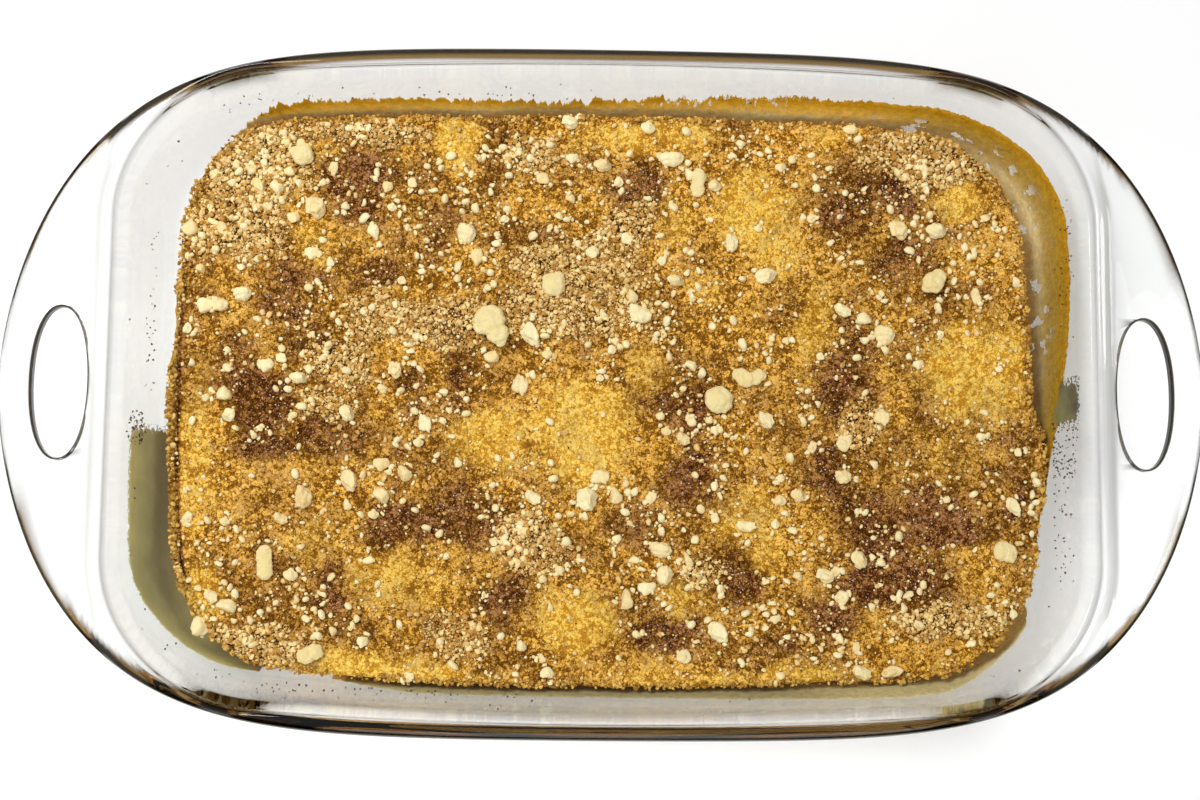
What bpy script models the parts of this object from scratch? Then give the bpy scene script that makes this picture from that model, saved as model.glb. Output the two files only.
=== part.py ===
"""Crumb-topped coffee cake in the oblong glass dish that it was baked in.

Metres, +Z up. The origin is on the table under the middle of the dish, +X runs
along its length and +Y across it.
"""
import math
import random

import bmesh
import bpy
from mathutils import Vector
from mathutils.bvhtree import BVHTree

# Outline of the dish with its two handle plates, a bowed oblong
DISH_HALF_LENGTH = 0.2026
DISH_HALF_WIDTH = 0.1168
OUTLINE_END_POWER = 5.13
OUTLINE_SIDE_POWER = 1.8
OUTLINE_BOW = 0.039

# Opening inside the rim
OPENING_HALF_LENGTH = 0.1655
OPENING_HALF_WIDTH = 0.1112
OPENING_CORNER = 0.050
OPENING_BOW = 0.069

# Walls and base
DISH_HEIGHT = 0.0570
BASE_THICKNESS = 0.0050
WALL_THICKNESS = 0.0047
WALL_LEAN = math.radians(16.0)
BASE_CURVE = 0.020

# Rim bead along the sides and handle plates at the ends
RIM_STRAIGHT = 0.0025
CREST_IN = 0.0020
PLATE_DROP = 0.0022
PLATE_THICKNESS = 0.0050
BEAD_DEPTH = 0.0068
PLATE_STARTS = 0.0065
PLATE_FULL = 0.0160
UNDER_RIM_DROP = 0.0022

# Rim profile outwards from the crest. On the bead: share of the rim's width, shift and
# depth below the crest. On the plate: the same three
RIM_PROFILE = (
    (0.70, 0.0, 0.0006, 0.0, 0.0042, 0.0006),
    (0.90, 0.0, 0.0017, 0.0, 0.0075, PLATE_DROP),
    (1.00, 0.0, 0.0034, 1.0, -0.0016, PLATE_DROP),
    (1.00, 0.0, 0.55 * BEAD_DEPTH, 1.0, 0.0, 0.55 * BEAD_DEPTH),
    (1.00, -0.0013, BEAD_DEPTH, 1.0, -0.0013, PLATE_DROP + PLATE_THICKNESS),
    (0.62, 0.0, BEAD_DEPTH, 0.0, 0.0068, PLATE_DROP + PLATE_THICKNESS),
)

# Oval finger holes through the handle plates
HOLE_CENTRE = 0.1822
HOLE_HALF_WIDTH = 0.0092
HOLE_HALF_LENGTH = 0.0253
HOLE_POWER = 2.15
HOLE_ROUNDING = 0.0013
CUTTER_REACH = 0.004

# Cake
CAKE_HEIGHT = 0.0240
CAKE_INSET_ENDS = 0.0140
CAKE_INSET_SIDES = 0.0102
CAKE_CORNER_SHRINK = 0.0100
CAKE_FREE_FROM = 0.0150
CAKE_LEAVES_WALL = 0.0006
CAKE_SHOULDER = ((0.6, 0.0040), (1.0, 0.0013))
CAKE_TOP_INSET = 0.0022
CAKE_DOME = 0.0016
CAKE_WAVES = 0.0007
CAKE_WAVE_LONG = (61.0, 1.3)
CAKE_WAVE_CROSS = (74.0, -0.6)
CAKE_WAVE_SLANT = (118.0, -47.0, 2.1)
CAKE_SLANT_SHARE = 0.6
CAKE_EDGE_RAGGED = 0.0007
SEAT_GAP = 0.0003

# Loose lumps of topping as large as berries, in millimetres: place, width along X and Y
LUMPS = (
    (-39, 24, 12, 15),
    (40, -1, 10.5, 10),
    (116, 42, 9.5, 9),
    (51, 7, 13, 6.6),
    (-107, 85, 9, 9.5),
    (-18, 39, 9, 9.5),
    (-116, -59, 6.2, 12),
    (-99, -90, 9.5, 6.8),
    (33, 76, 6.2, 11),
    (140, -53, 9, 7.3),
)
LUMP_TALL = 0.66

# Large crumbs of topping fused to the cake, in millimetres: place and width
LARGE_CRUMBS = (
    (-102, 65, 7.5), (-122, 73, 5.5), (-134, 57, 5.5), (-126, 35, 5.5), (-134, 31, 6),
    (-48, 57, 6.5), (-1, 82, 6), (24, 85, 6.5), (-13, 97, 5.5), (45, 55, 6),
    (57, 43, 6.5), (25, 41, 5.5), (104, 60, 6.5), (117, 60, 7), (84, 31, 6),
    (99, 23, 6.5), (-106, 5, 6), (-89, -7, 6), (-73, 8, 5.5), (-62, -10, 5.5),
    (-26, 22, 8), (-29, 4, 6), (13, 29, 7.5), (28, -15, 5.5), (57, -8, 7),
    (97, -6, 6), (84, -27, 5.5), (-103, -36, 7), (-88, -30, 7), (-111, -44, 5.5),
    (-134, -71, 6), (-24, -36, 6.5), (-5, -36, 7), (-1, -28, 6), (21, -53, 6.5),
    (22, -62, 6), (40, -81, 7.5), (50, -45, 6.5), (89, -56, 6.5), (77, -62, 5.5),
    (143, -37, 6), (68, -34, 5.5), (90, -95, 6.5),
)

# Smaller crumbs, scattered over the cake: how many, least and greatest width
CRUMB_SEED = 12
CRUMB_KINDS = ((38, 0.0042, 0.0054), (52, 0.0030, 0.0041))
CRUMB_CLEAR = 0.0012
CRUMB_SINK = 0.30
CRUMB_EDGE = 0.0065
CRUMB_PULLS = 5
CRUMB_UNEVEN = 0.16
CRUMB_FINE_FROM = 0.006
CRUMB_NARROW = (0.78, 1.0)
CRUMB_TALL = (0.62, 0.80)

# How many points make each stretch of the round-cornered outlines
CORNER_STEPS = 10
SIDE_STEPS = 12
END_STEPS = 6
CURVE_STEPS = 4
HOLE_STEPS = 36
TOP_RINGS = 9
MM = 0.001

GLASS = ((0.86, 0.90, 0.88), 0.04)
CAKE = ((0.50, 0.25, 0.07), 0.75)
CRUMB = ((0.90, 0.74, 0.42), 0.85)


def clear_scene():
    for obj in list(bpy.data.objects):
        bpy.data.objects.remove(obj, do_unlink=True)


def new_collection(name):
    group = bpy.data.collections.new(name)
    bpy.context.scene.collection.children.link(group)
    return group


def new_material(name, finish):
    colour, roughness = finish
    material = bpy.data.materials.new(name)
    material.use_nodes = True
    shader = material.node_tree.nodes["Principled BSDF"]
    shader.inputs["Base Color"].default_value = (*colour, 1.0)
    shader.inputs["Roughness"].default_value = roughness
    shader.inputs["Metallic"].default_value = 0.0
    return material


def new_object(name, mesh, material, group):
    obj = bpy.data.objects.new(name, mesh)
    if material is not None:
        mesh.materials.append(material)
    group.objects.link(obj)
    return obj


def smoothstep(low, high, value):
    share = min(1.0, max(0.0, (value - low) / (high - low)))
    return share * share * (3.0 - 2.0 * share)


def blend(a, b, share):
    return a + (b - a) * share


# Plan outlines

def opening_outline():
    """Points round the opening and the outward direction at each."""
    straight_x = OPENING_HALF_LENGTH - OPENING_CORNER
    straight_y = OPENING_HALF_WIDTH - OPENING_CORNER
    corners = ((straight_x, straight_y), (-straight_x, straight_y),
               (-straight_x, -straight_y), (straight_x, -straight_y))
    steps_after = (SIDE_STEPS, END_STEPS, SIDE_STEPS, END_STEPS)
    points = []
    for index, (corner, steps) in enumerate(zip(corners, steps_after)):
        start = index * math.pi / 2
        for step in range(CORNER_STEPS + 1):
            angle = start + step / CORNER_STEPS * math.pi / 2
            points.append(Vector((corner[0] + OPENING_CORNER * math.cos(angle),
                                  corner[1] + OPENING_CORNER * math.sin(angle))))
        following = corners[(index + 1) % 4]
        end = start + math.pi / 2
        ahead = Vector((following[0] + OPENING_CORNER * math.cos(end),
                        following[1] + OPENING_CORNER * math.sin(end)))
        last = points[-1]
        for step in range(1, steps):
            points.append(last.lerp(ahead, step / steps))
    for point in points:
        point.y *= 1.0 - OPENING_BOW * (point.x / OPENING_HALF_LENGTH) ** 2
    outward = []
    for index, point in enumerate(points):
        along = points[(index + 1) % len(points)] - points[index - 1]
        outward.append(Vector((along.y, -along.x)).normalized())
    return points, outward


def dish_edge_distance(point, direction):
    """Distance from a point of the opening to the outer edge of the dish."""
    def outside(distance):
        place = point + direction * distance
        x = abs(place.x) / DISH_HALF_LENGTH
        y = abs(place.y) / (DISH_HALF_WIDTH * (1.0 - OUTLINE_BOW * x * x))
        return x ** OUTLINE_END_POWER + y ** OUTLINE_SIDE_POWER > 1.0

    near, far = 0.0, DISH_HALF_LENGTH
    for _ in range(40):
        middle = (near + far) / 2
        if outside(middle):
            far = middle
        else:
            near = middle
    return near


def wall_inset(height):
    """How far the straight inner wall stands inside the opening at a height."""
    return (DISH_HEIGHT - height) * math.tan(WALL_LEAN)


def base_curve_profile(radius, base_height):
    """Inset and height up the curve from base to wall, about the shared centre."""
    centre_height = BASE_THICKNESS + BASE_CURVE
    touch_height = centre_height - BASE_CURVE * math.sin(WALL_LEAN)
    centre_inset = wall_inset(touch_height) + BASE_CURVE * math.cos(WALL_LEAN)
    sweep = math.pi / 2 - WALL_LEAN
    profile = []
    for step in range(CURVE_STEPS + 1):
        angle = step / CURVE_STEPS * sweep
        profile.append((centre_inset - radius * math.sin(angle),
                        centre_height - radius * math.cos(angle)))
    assert abs(profile[0][1] - base_height) < 1e-6
    return profile


def ring(points, outward, inset, height):
    """A closed ring of points, moved inwards from the opening by the inset."""
    return [Vector((p.x - n.x * inset, p.y - n.y * inset, height))
            for p, n in zip(points, outward)]


def loft(rings, cap_start, cap_end):
    """A skin through rings of equally many points, with its ends closed."""
    mesh = bmesh.new()
    rows = [[mesh.verts.new(place) for place in row] for row in rings]
    count = len(rows[0])
    for low, high in zip(rows, rows[1:]):
        for index in range(count):
            after = (index + 1) % count
            mesh.faces.new((low[index], low[after], high[after], high[index]))
    for row, point in ((rows[0], cap_start), (rows[-1], cap_end)):
        if point is None:
            mesh.faces.new(row)
            continue
        middle = mesh.verts.new(point)
        for index in range(count):
            mesh.faces.new((row[index], row[(index + 1) % count], middle))
    bmesh.ops.recalc_face_normals(mesh, faces=mesh.faces)
    bmesh.ops.triangulate(mesh, faces=[f for f in mesh.faces if len(f.verts) > 4])
    return mesh


def as_mesh(name, mesh):
    data = bpy.data.meshes.new(name)
    mesh.to_mesh(data)
    mesh.free()
    return data


# Glass baking dish

def rim_ring(points, outward, section):
    """A ring of the rim, where section gives offset and height for a plate width."""
    row = []
    for point, direction in zip(points, outward):
        width = dish_edge_distance(point, direction)
        offset, height = section(width)
        row.append(Vector((point.x + direction.x * offset,
                           point.y + direction.y * offset, height)))
    return row


def rim_rings(points, outward):
    """Rings over the rim: bead along the sides, handle plate where it is wide."""
    top = DISH_HEIGHT
    under = top - BEAD_DEPTH - UNDER_RIM_DROP
    wall_outside = WALL_THICKNESS / math.cos(WALL_LEAN)

    def section(width, row):
        bead_share, bead_shift, bead_depth, plate_share, plate_shift, plate_depth = row
        share = smoothstep(PLATE_STARTS, PLATE_FULL, width)
        offset = blend(bead_share * width + bead_shift, plate_share * width + plate_shift, share)
        return offset, top - blend(bead_depth, plate_depth, share)

    crest = ((0.0, top - RIM_STRAIGHT), (0.3 * CREST_IN, top - 0.25 * RIM_STRAIGHT),
             (CREST_IN, top))
    rings = [ring(points, outward, -offset, height) for offset, height in crest]
    for row in RIM_PROFILE:
        rings.append(rim_ring(points, outward, lambda width: section(width, row)))
    rings.append(ring(points, outward, wall_inset(under) - wall_outside, under))
    return rings


def dish_rings(points, outward):
    inner_curve = base_curve_profile(BASE_CURVE, BASE_THICKNESS)
    outer_curve = base_curve_profile(BASE_CURVE + BASE_THICKNESS, 0.0)
    rings = [ring(points, outward, inset, height) for inset, height in inner_curve]
    rings += rim_rings(points, outward)
    rings += [ring(points, outward, inset, height) for inset, height in reversed(outer_curve)]
    return rings


def handle_hole_cutter(name, side, group):
    """Oval plug with flared ends, so that the hole it leaves has eased edges."""
    plate_top = DISH_HEIGHT - PLATE_DROP
    plate_bottom = plate_top - PLATE_THICKNESS
    levels = ((HOLE_ROUNDING + CUTTER_REACH, plate_bottom - CUTTER_REACH),
              (0.0, plate_bottom + HOLE_ROUNDING),
              (0.0, plate_top - HOLE_ROUNDING),
              (HOLE_ROUNDING + CUTTER_REACH, plate_top + CUTTER_REACH))
    rings = []
    for grow, height in levels:
        row = []
        for step in range(HOLE_STEPS):
            angle = 2 * math.pi * step / HOLE_STEPS
            cosine, sine = math.cos(angle), math.sin(angle)
            across = math.copysign(abs(cosine) ** (2 / HOLE_POWER), cosine)
            along = math.copysign(abs(sine) ** (2 / HOLE_POWER), sine)
            row.append(Vector((side * HOLE_CENTRE + (HOLE_HALF_WIDTH + grow) * across,
                               (HOLE_HALF_LENGTH + grow) * along, height)))
        rings.append(row)
    cutter = new_object(name, as_mesh(name, loft(rings, None, None)), None, group)
    cutter.hide_render = True
    cutter.display_type = "WIRE"
    return cutter


def build_dish(points, outward, parts, cutters):
    mesh = as_mesh("baking_dish", loft(dish_rings(points, outward), None, None))
    dish = new_object("baking_dish", mesh, new_material("oven_glass", GLASS), parts)
    for name, side in (("hole_left", -1), ("hole_right", 1)):
        cut = dish.modifiers.new(name, "BOOLEAN")
        cut.operation = "DIFFERENCE"
        cut.solver = "EXACT"
        cut.object = handle_hole_cutter(name, side, cutters)
    mesh.shade_smooth()
    mesh.set_sharp_from_angle(angle=math.radians(40))
    return dish


# Cake

def top_height(x, y):
    """Height of the cake's top: a low dome with soft waves in it."""
    round_x = x / OPENING_HALF_LENGTH
    round_y = y / OPENING_HALF_WIDTH
    dome = CAKE_DOME * (1.0 - 0.5 * (round_x ** 2 + round_y ** 2))
    waves = math.sin(CAKE_WAVE_LONG[0] * x + CAKE_WAVE_LONG[1])
    waves *= math.cos(CAKE_WAVE_CROSS[0] * y + CAKE_WAVE_CROSS[1])
    slant_x, slant_y, start = CAKE_WAVE_SLANT
    waves += CAKE_SLANT_SHARE * math.sin(slant_x * x + slant_y * y + start)
    return BASE_THICKNESS + CAKE_HEIGHT + dome + CAKE_WAVES * waves


def cake_ring(points, outward, ends, sides, height, shrink, ragged=0.0):
    """A ring of the cake, further in at the dish's ends than its sides, most in its corners."""
    draw = random.Random(round(height * 1e5))
    row = []
    for p, n in zip(points, outward):
        corner = (p.x / OPENING_HALF_LENGTH) ** 4 * (p.y / OPENING_HALF_WIDTH) ** 2
        more = shrink * corner + ragged * draw.uniform(-1.0, 1.0)
        row.append(Vector((p.x - n.x * (ends + more), p.y - n.y * (sides + more), height)))
    return row


def cake_rings(points, outward):
    low = BASE_THICKNESS + SEAT_GAP
    curve = base_curve_profile(BASE_CURVE - SEAT_GAP, low)
    rings = [ring(points, outward, inset, height) for inset, height in curve]
    edge = BASE_THICKNESS + CAKE_HEIGHT
    leaving = wall_inset(BASE_THICKNESS + CAKE_FREE_FROM) + SEAT_GAP + CAKE_LEAVES_WALL
    for share, below in CAKE_SHOULDER:
        ends = blend(leaving, CAKE_INSET_ENDS, share)
        sides = blend(leaving, CAKE_INSET_SIDES, share)
        rings.append(cake_ring(points, outward, ends, sides, edge - below,
                               share * CAKE_CORNER_SHRINK, CAKE_EDGE_RAGGED))
    rim = cake_ring(points, outward, CAKE_INSET_ENDS + CAKE_TOP_INSET,
                    CAKE_INSET_SIDES + CAKE_TOP_INSET, edge, CAKE_CORNER_SHRINK)
    for step in range(TOP_RINGS):
        share = 1.0 - (step / TOP_RINGS)
        row = []
        for place in rim:
            x, y = place.x * share, place.y * share
            row.append(Vector((x, y, top_height(x, y))))
        rings.append(row)
    return rings


def crumb_ball(name, size, fineness, group, seed):
    """A knobbly crumb about the origin: a ball pulled about at a few places."""
    draw = random.Random(seed)
    mesh = bmesh.new()
    bmesh.ops.create_icosphere(mesh, subdivisions=fineness, radius=0.5)
    pulls = [(Vector([draw.uniform(-1.0, 1.0) for _ in range(3)]).normalized(),
              draw.uniform(-CRUMB_UNEVEN, CRUMB_UNEVEN)) for _ in range(CRUMB_PULLS)]
    for vert in mesh.verts:
        direction = vert.co.normalized()
        swell = sum(amount * max(0.0, direction.dot(pull)) ** 2 for pull, amount in pulls)
        vert.co *= 1.0 + swell
        vert.co = (vert.co.x * size[0], vert.co.y * size[1], vert.co.z * size[2])
    return new_object(name, as_mesh(name, mesh), None, group)


def inside_ring(x, y, row):
    """Whether a place lies inside a closed ring of points."""
    crossings = sum((a.y > y) != (b.y > y)
                    and x < (b.x - a.x) * (y - a.y) / (b.y - a.y) + a.x
                    for a, b in zip(row, row[1:] + row[:1]))
    return crossings % 2 == 1


def crumb_places(points, outward):
    """Place and width of each fused crumb, clear of its neighbours."""
    placed = [(x * MM, y * MM, width * MM) for x, y, width in LARGE_CRUMBS]
    taken = [(x, y, width / 2) for x, y, width in placed]
    taken += [(x * MM, y * MM, max(long, wide) / 2 * MM) for x, y, long, wide in LUMPS]
    edge = cake_ring(points, outward, CAKE_INSET_ENDS + CRUMB_EDGE,
                     CAKE_INSET_SIDES + CRUMB_EDGE, 0.0, CAKE_CORNER_SHRINK)
    draw = random.Random(CRUMB_SEED)
    for count, small, large in CRUMB_KINDS:
        wanted = len(placed) + count
        while len(placed) < wanted:
            x = draw.uniform(-OPENING_HALF_LENGTH, OPENING_HALF_LENGTH)
            y = draw.uniform(-OPENING_HALF_WIDTH, OPENING_HALF_WIDTH)
            width = draw.uniform(small, large)
            apart = all(math.hypot(x - px, y - py) > width / 2 + pr + CRUMB_CLEAR
                        for px, py, pr in taken)
            if apart and inside_ring(x, y, edge):
                taken.append((x, y, width / 2))
                placed.append((x, y, width))
    return placed


def fuse_crumbs(cake, places):
    """Unite the crumbs with the cake's top."""
    loose = new_collection("crumbs_to_fuse")
    draw = random.Random(CRUMB_SEED + 1)
    for index, (x, y, width) in enumerate(places):
        size = (width, width * draw.uniform(*CRUMB_NARROW), width * draw.uniform(*CRUMB_TALL))
        name = "crumb_%03d" % index
        fineness = 2 if width >= CRUMB_FINE_FROM else 1
        crumb = crumb_ball(name, size, fineness, loose, CRUMB_SEED + index)
        crumb.location = (x, y, top_height(x, y) + size[2] * (0.5 - CRUMB_SINK))
        crumb.rotation_euler.z = draw.uniform(0.0, math.pi)
    join = cake.modifiers.new("crumbs", "BOOLEAN")
    join.operation = "UNION"
    join.operand_type = "COLLECTION"
    join.collection = loose
    join.solver = "EXACT"
    bpy.context.view_layer.update()
    shaped = cake.evaluated_get(bpy.context.evaluated_depsgraph_get())
    united = bpy.data.meshes.new_from_object(shaped)
    cake.modifiers.clear()
    cake.data = united
    for crumb in list(loose.objects):
        bpy.data.objects.remove(crumb, do_unlink=True)
    bpy.data.collections.remove(loose)


def build_cake(points, outward, parts):
    middle = (0.0, 0.0, top_height(0.0, 0.0))
    mesh = as_mesh("cake", loft(cake_rings(points, outward), None, middle))
    cake = new_object("cake", mesh, new_material("baked_crumb", CAKE), parts)
    fuse_crumbs(cake, crumb_places(points, outward))
    cake.data.shade_smooth()
    cake.data.set_sharp_from_angle(angle=math.radians(35))
    return cake


def build_lumps(cake, parts):
    """Berry-sized lumps of topping, each flat where it lies on the cake."""
    finish = new_material("crumb_topping", CRUMB)
    surface = BVHTree.FromPolygons([v.co for v in cake.data.vertices],
                                   [p.vertices for p in cake.data.polygons])
    down = Vector((0.0, 0.0, -1.0))
    for index, (x, y, long, wide) in enumerate(LUMPS):
        name = "crumb_lump_%02d" % (index + 1)
        tall = LUMP_TALL * min(long, wide) * MM
        size = (long * MM, wide * MM, tall)
        lump = crumb_ball(name, size, 2, parts, CRUMB_SEED - index)
        lump.data.materials.append(finish)
        place = Vector((x * MM, y * MM, 0.0))
        above = place + Vector((0.0, 0.0, DISH_HEIGHT))
        seat = SEAT_GAP + max(surface.ray_cast(vert.co + above, down)[0].z
                              for vert in lump.data.vertices)
        for vert in lump.data.vertices:
            lifted = max(vert.co.z + tall * (0.5 - CRUMB_SINK), 0.0)
            vert.co = (place.x + vert.co.x, place.y + vert.co.y, seat + lifted)
        lump.data.shade_smooth()


def main():
    clear_scene()
    parts = new_collection("coffee_cake")
    cutters = new_collection("cutters")
    points, outward = opening_outline()
    build_dish(points, outward, parts, cutters)
    cake = build_cake(points, outward, parts)
    build_lumps(cake, parts)


main()
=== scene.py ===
"""Coffee cake with crumb topping in its glass baking dish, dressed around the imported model.

Metres, +Z up. The dish stands on the floor at z 0, +X runs along its length.
"""
import math
import random

import bpy
import numpy as np
from mathutils import Euler, Matrix, Vector


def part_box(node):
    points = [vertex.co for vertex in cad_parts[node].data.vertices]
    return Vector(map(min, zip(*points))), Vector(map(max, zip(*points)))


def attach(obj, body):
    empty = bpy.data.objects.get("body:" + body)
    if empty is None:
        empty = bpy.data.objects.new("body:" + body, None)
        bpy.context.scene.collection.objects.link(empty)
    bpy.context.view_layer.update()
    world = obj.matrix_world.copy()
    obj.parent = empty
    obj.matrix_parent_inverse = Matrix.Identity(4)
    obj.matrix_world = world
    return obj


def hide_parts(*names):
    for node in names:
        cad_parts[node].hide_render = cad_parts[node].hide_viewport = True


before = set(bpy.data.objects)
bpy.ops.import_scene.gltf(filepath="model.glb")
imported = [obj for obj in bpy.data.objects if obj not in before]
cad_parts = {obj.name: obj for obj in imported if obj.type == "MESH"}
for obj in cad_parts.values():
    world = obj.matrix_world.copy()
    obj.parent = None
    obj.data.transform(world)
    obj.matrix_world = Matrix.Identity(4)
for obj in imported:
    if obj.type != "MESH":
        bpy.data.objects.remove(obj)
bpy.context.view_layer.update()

bl_info = {
    "name": "Crumb Coffee Cake",
    "version": (1, 0, 0),
    "blender": (4, 5, 0),
    "location": "View3D > Sidebar > Coffee Cake",
    "description": "Builds a crumb-topped coffee cake in a glass baking dish",
    "category": "Object",
}

MM = 0.001
BODY = "root"

# Dish outline and walls, as in the part's source
DISH_HALF_LENGTH = 0.2026
DISH_HALF_WIDTH = 0.1168
OUTLINE_END_POWER = 5.13
OUTLINE_SIDE_POWER = 1.8
OUTLINE_BOW = 0.039
OPENING_HALF_LENGTH = 0.1655
OPENING_HALF_WIDTH = 0.1112
OPENING_CORNER = 0.050
OPENING_BOW = 0.069
DISH_HEIGHT = 0.0570
BASE_THICKNESS = 0.0050
WALL_THICKNESS = 0.0047
WALL_LEAN = math.radians(16.0)
BASE_CURVE = 0.020
RIM_STRAIGHT = 0.0025
CREST_IN = 0.0020
PLATE_DROP = 0.0022
PLATE_THICKNESS = 0.0050
BEAD_DEPTH = 0.0068
# How far in from the edge of the long sides the dark bead reaches, full and gone
BEAD_FULL = 0.0042
BEAD_GONE = 0.0056
PLATE_STARTS = 0.0065
PLATE_FULL = 0.0160
HOLE_CENTRE = 0.1822
HOLE_HALF_WIDTH = 0.0092
HOLE_HALF_LENGTH = 0.0253
HOLE_POWER = 2.15

# Cake, as in the part's source
CAKE_HEIGHT = 0.0240
CAKE_INSET_ENDS = 0.0140
CAKE_INSET_SIDES = 0.0102
CAKE_CORNER_SHRINK = 0.0100
CAKE_DOME = 0.0016
CAKE_WAVES = 0.0007
CAKE_EDGE = BASE_THICKNESS + CAKE_HEIGHT
# How far the drawn cake sits in the glass, so that no sliver of air shows between them
CAKE_INTO_GLASS = 0.00015
# How far the back of the film and of the greasy patches with their painted reflection sits in the glass,
# and their thickness at the foot
SKIN_INTO_GLASS = 0.00005
FILM_THICKNESS = 0.00035
GREASE_REFLECTION_THICKNESS = 0.0002
# Margins from the cake's edge: crumbs of crust overhang it, what is strewn stays inside it
OVERHANG_MARGIN = -0.0009
STREWN_MARGIN = 0.0001

# The photo's camera: place, turns about Z, X and Y in radians, lens and sensor in millimetres
CAMERA_PLACE = (-0.01289, -0.06804, 0.6460)
CAMERA_TURNS = (0.01174, 0.10751, -0.02017)
CAMERA_LENS = 53.28
CAMERA_SENSOR = 36.0

# Where the topping lies thick, in millimetres: centre, half widths, strength
BROWN_SUGAR = (
    (-88, 74, 12, 14, 1), (-62, 50, 8, 7, .7), (-80, 42, 8, 6, .9), (-112, 36, 14, 9, .6),
    (-104, 18, 9, 7, .8), (-120, -5, 9, 15, 1), (-97, -17, 14, 7, .9), (-58, -6, 10, 8, .5),
    (-50, 12, 6, 6, .8), (-66, 6, 6, 6, .8), (-28, 55, 14, 6, .7), (-40, 84, 5, 13, .6),
    (12, 74, 8, 9, .65), (18, 30, 8, 12, .6), (28, 2, 10, 12, .75), (30, -32, 12, 9, .85),
    (-72, -45, 10, 8, 1), (-50, -44, 16, 8, .9), (-12, -54, 12, 7, .6), (12, -45, 10, 8, .8),
    (-60, -24, 12, 8, .55), (-88, -66, 9, 9, .6), (-84, -80, 10, 7, .6), (-35, -75, 6, 8, .8),
    (20, -83, 9, 6, .8), (60, -88, 14, 7, .6), (48, -65, 6, 8, .8), (86, 70, 9, 16, .75),
    (104, 73, 8, 9, 1), (106, 50, 10, 9, .7), (125, 36, 12, 6, .45), (89, 5, 7, 22, .8),
    (78, -26, 9, 8, .75), (98, -22, 12, 10, .45), (92, -42, 10, 9, .85), (120, -45, 14, 7, 1),
    (103, -62, 16, 10, 1), (117, -66, 8, 7, .9), (80, -78, 9, 6, .5), (146, -30, 5, 22, .6),
    (132, -40, 8, 6, .6), (63, -14, 8, 8, .5), (-118, 55, 6, 7, .6),
)
BARE_CAKE = (
    (-52, 89, 9, 13, 1), (16, 93, 24, 7, .9), (52, 68, 13, 13, 1), (85, 95, 12, 4, .6),
    (125, 70, 11, 8, .8), (130, 10, 20, 19, 1), (-40, -15, 14, 11, 1), (-8, -13, 19, 19, 1),
    (17, 10, 9, 9, .7), (50, -42, 13, 11, .7), (-8, -79, 12, 11, 1), (-141, -20, 7, 34, .6),
    (-138, -72, 10, 14, .9), (-75, -62, 14, 8, .7), (-100, -52, 10, 7, .5), (-84, -93, 16, 5, .8),
    (74, 28, 6, 14, .8), (62, 52, 10, 10, .8), (146, 10, 5, 15, .9), (30, -70, 9, 7, .7),
    (-75, -98, 42, 6, 1), (60, -99, 50, 6, .95), (-104, 52, 7, 6, .6), (36, 38, 7, 7, .5),
    (57, -54, 8, 7, .7), (-68, -66, 16, 7, .6), (12, 40, 6, 5, .4), (122, -19, 11, 10, .5),
    (26, 62, 9, 8, .5),
)
TAN_HEAPS = (
    (-123, 80, 20, 16, 1), (-130, 60, 16, 14, 1), (-85, 93, 24, 5, .9), (-122, 52, 8, 8, .6),
    (-80, 27, 12, 10, .55), (-92, 11, 12, 8, .8), (-95, -6, 8, 6, .6), (-56, 25, 16, 9, 1),
    (-10, 45, 26, 12, .9), (-15, 30, 24, 10, .9), (8, 62, 9, 8, 1), (-26, 85, 10, 7, .8),
    (115, 87, 22, 10, 1), (-24, -52, 13, 10, 1), (120, -77, 20, 7, .9), (-118, -88, 22, 7, 1),
    (90, -8, 9, 8, .8), (13, 29, 6, 4, .8), (-50, -84, 12, 8, .5), (35, -62, 10, 6, .4),
)

# Lumps of topping, one for each of the frame's: balls in the lump's box, place and radius
LUMP_FORMS = (
    ((-.18, .28, .42, .80), (.22, -.38, .40, .58), (.34, -.74, .34, .32), (-.50, .05, .40, .50)),
    ((0, .02, .42, .92), (-.32, .25, .40, .55), (.30, -.30, .40, .60)),
    ((-.10, -.12, .42, .80), (.35, .38, .40, .55), (-.42, -.45, .36, .48)),
    ((-.62, .25, .42, .62), (-.20, -.18, .42, .66), (.30, -.05, .40, .62), (.66, .25, .40, .58)),
    ((.05, -.15, .42, .82), (-.10, .62, .40, .38), (-.58, .05, .38, .42), (.52, -.42, .38, .40)),
    ((0, -.05, .40, .84), (.35, .40, .40, .45), (-.45, .30, .38, .40)),
    ((0, -.35, .42, .90), (-.08, .40, .40, .86)),
    ((-.35, -.16, .42, .86), (.38, .20, .40, .84)),
    ((.05, .38, .42, .86), (-.06, -.38, .40, .84), (0, -.05, .42, .70)),
    ((-.30, .08, .42, .84), (.38, -.08, .40, .82), (.05, .30, .40, .56)),
)

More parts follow.
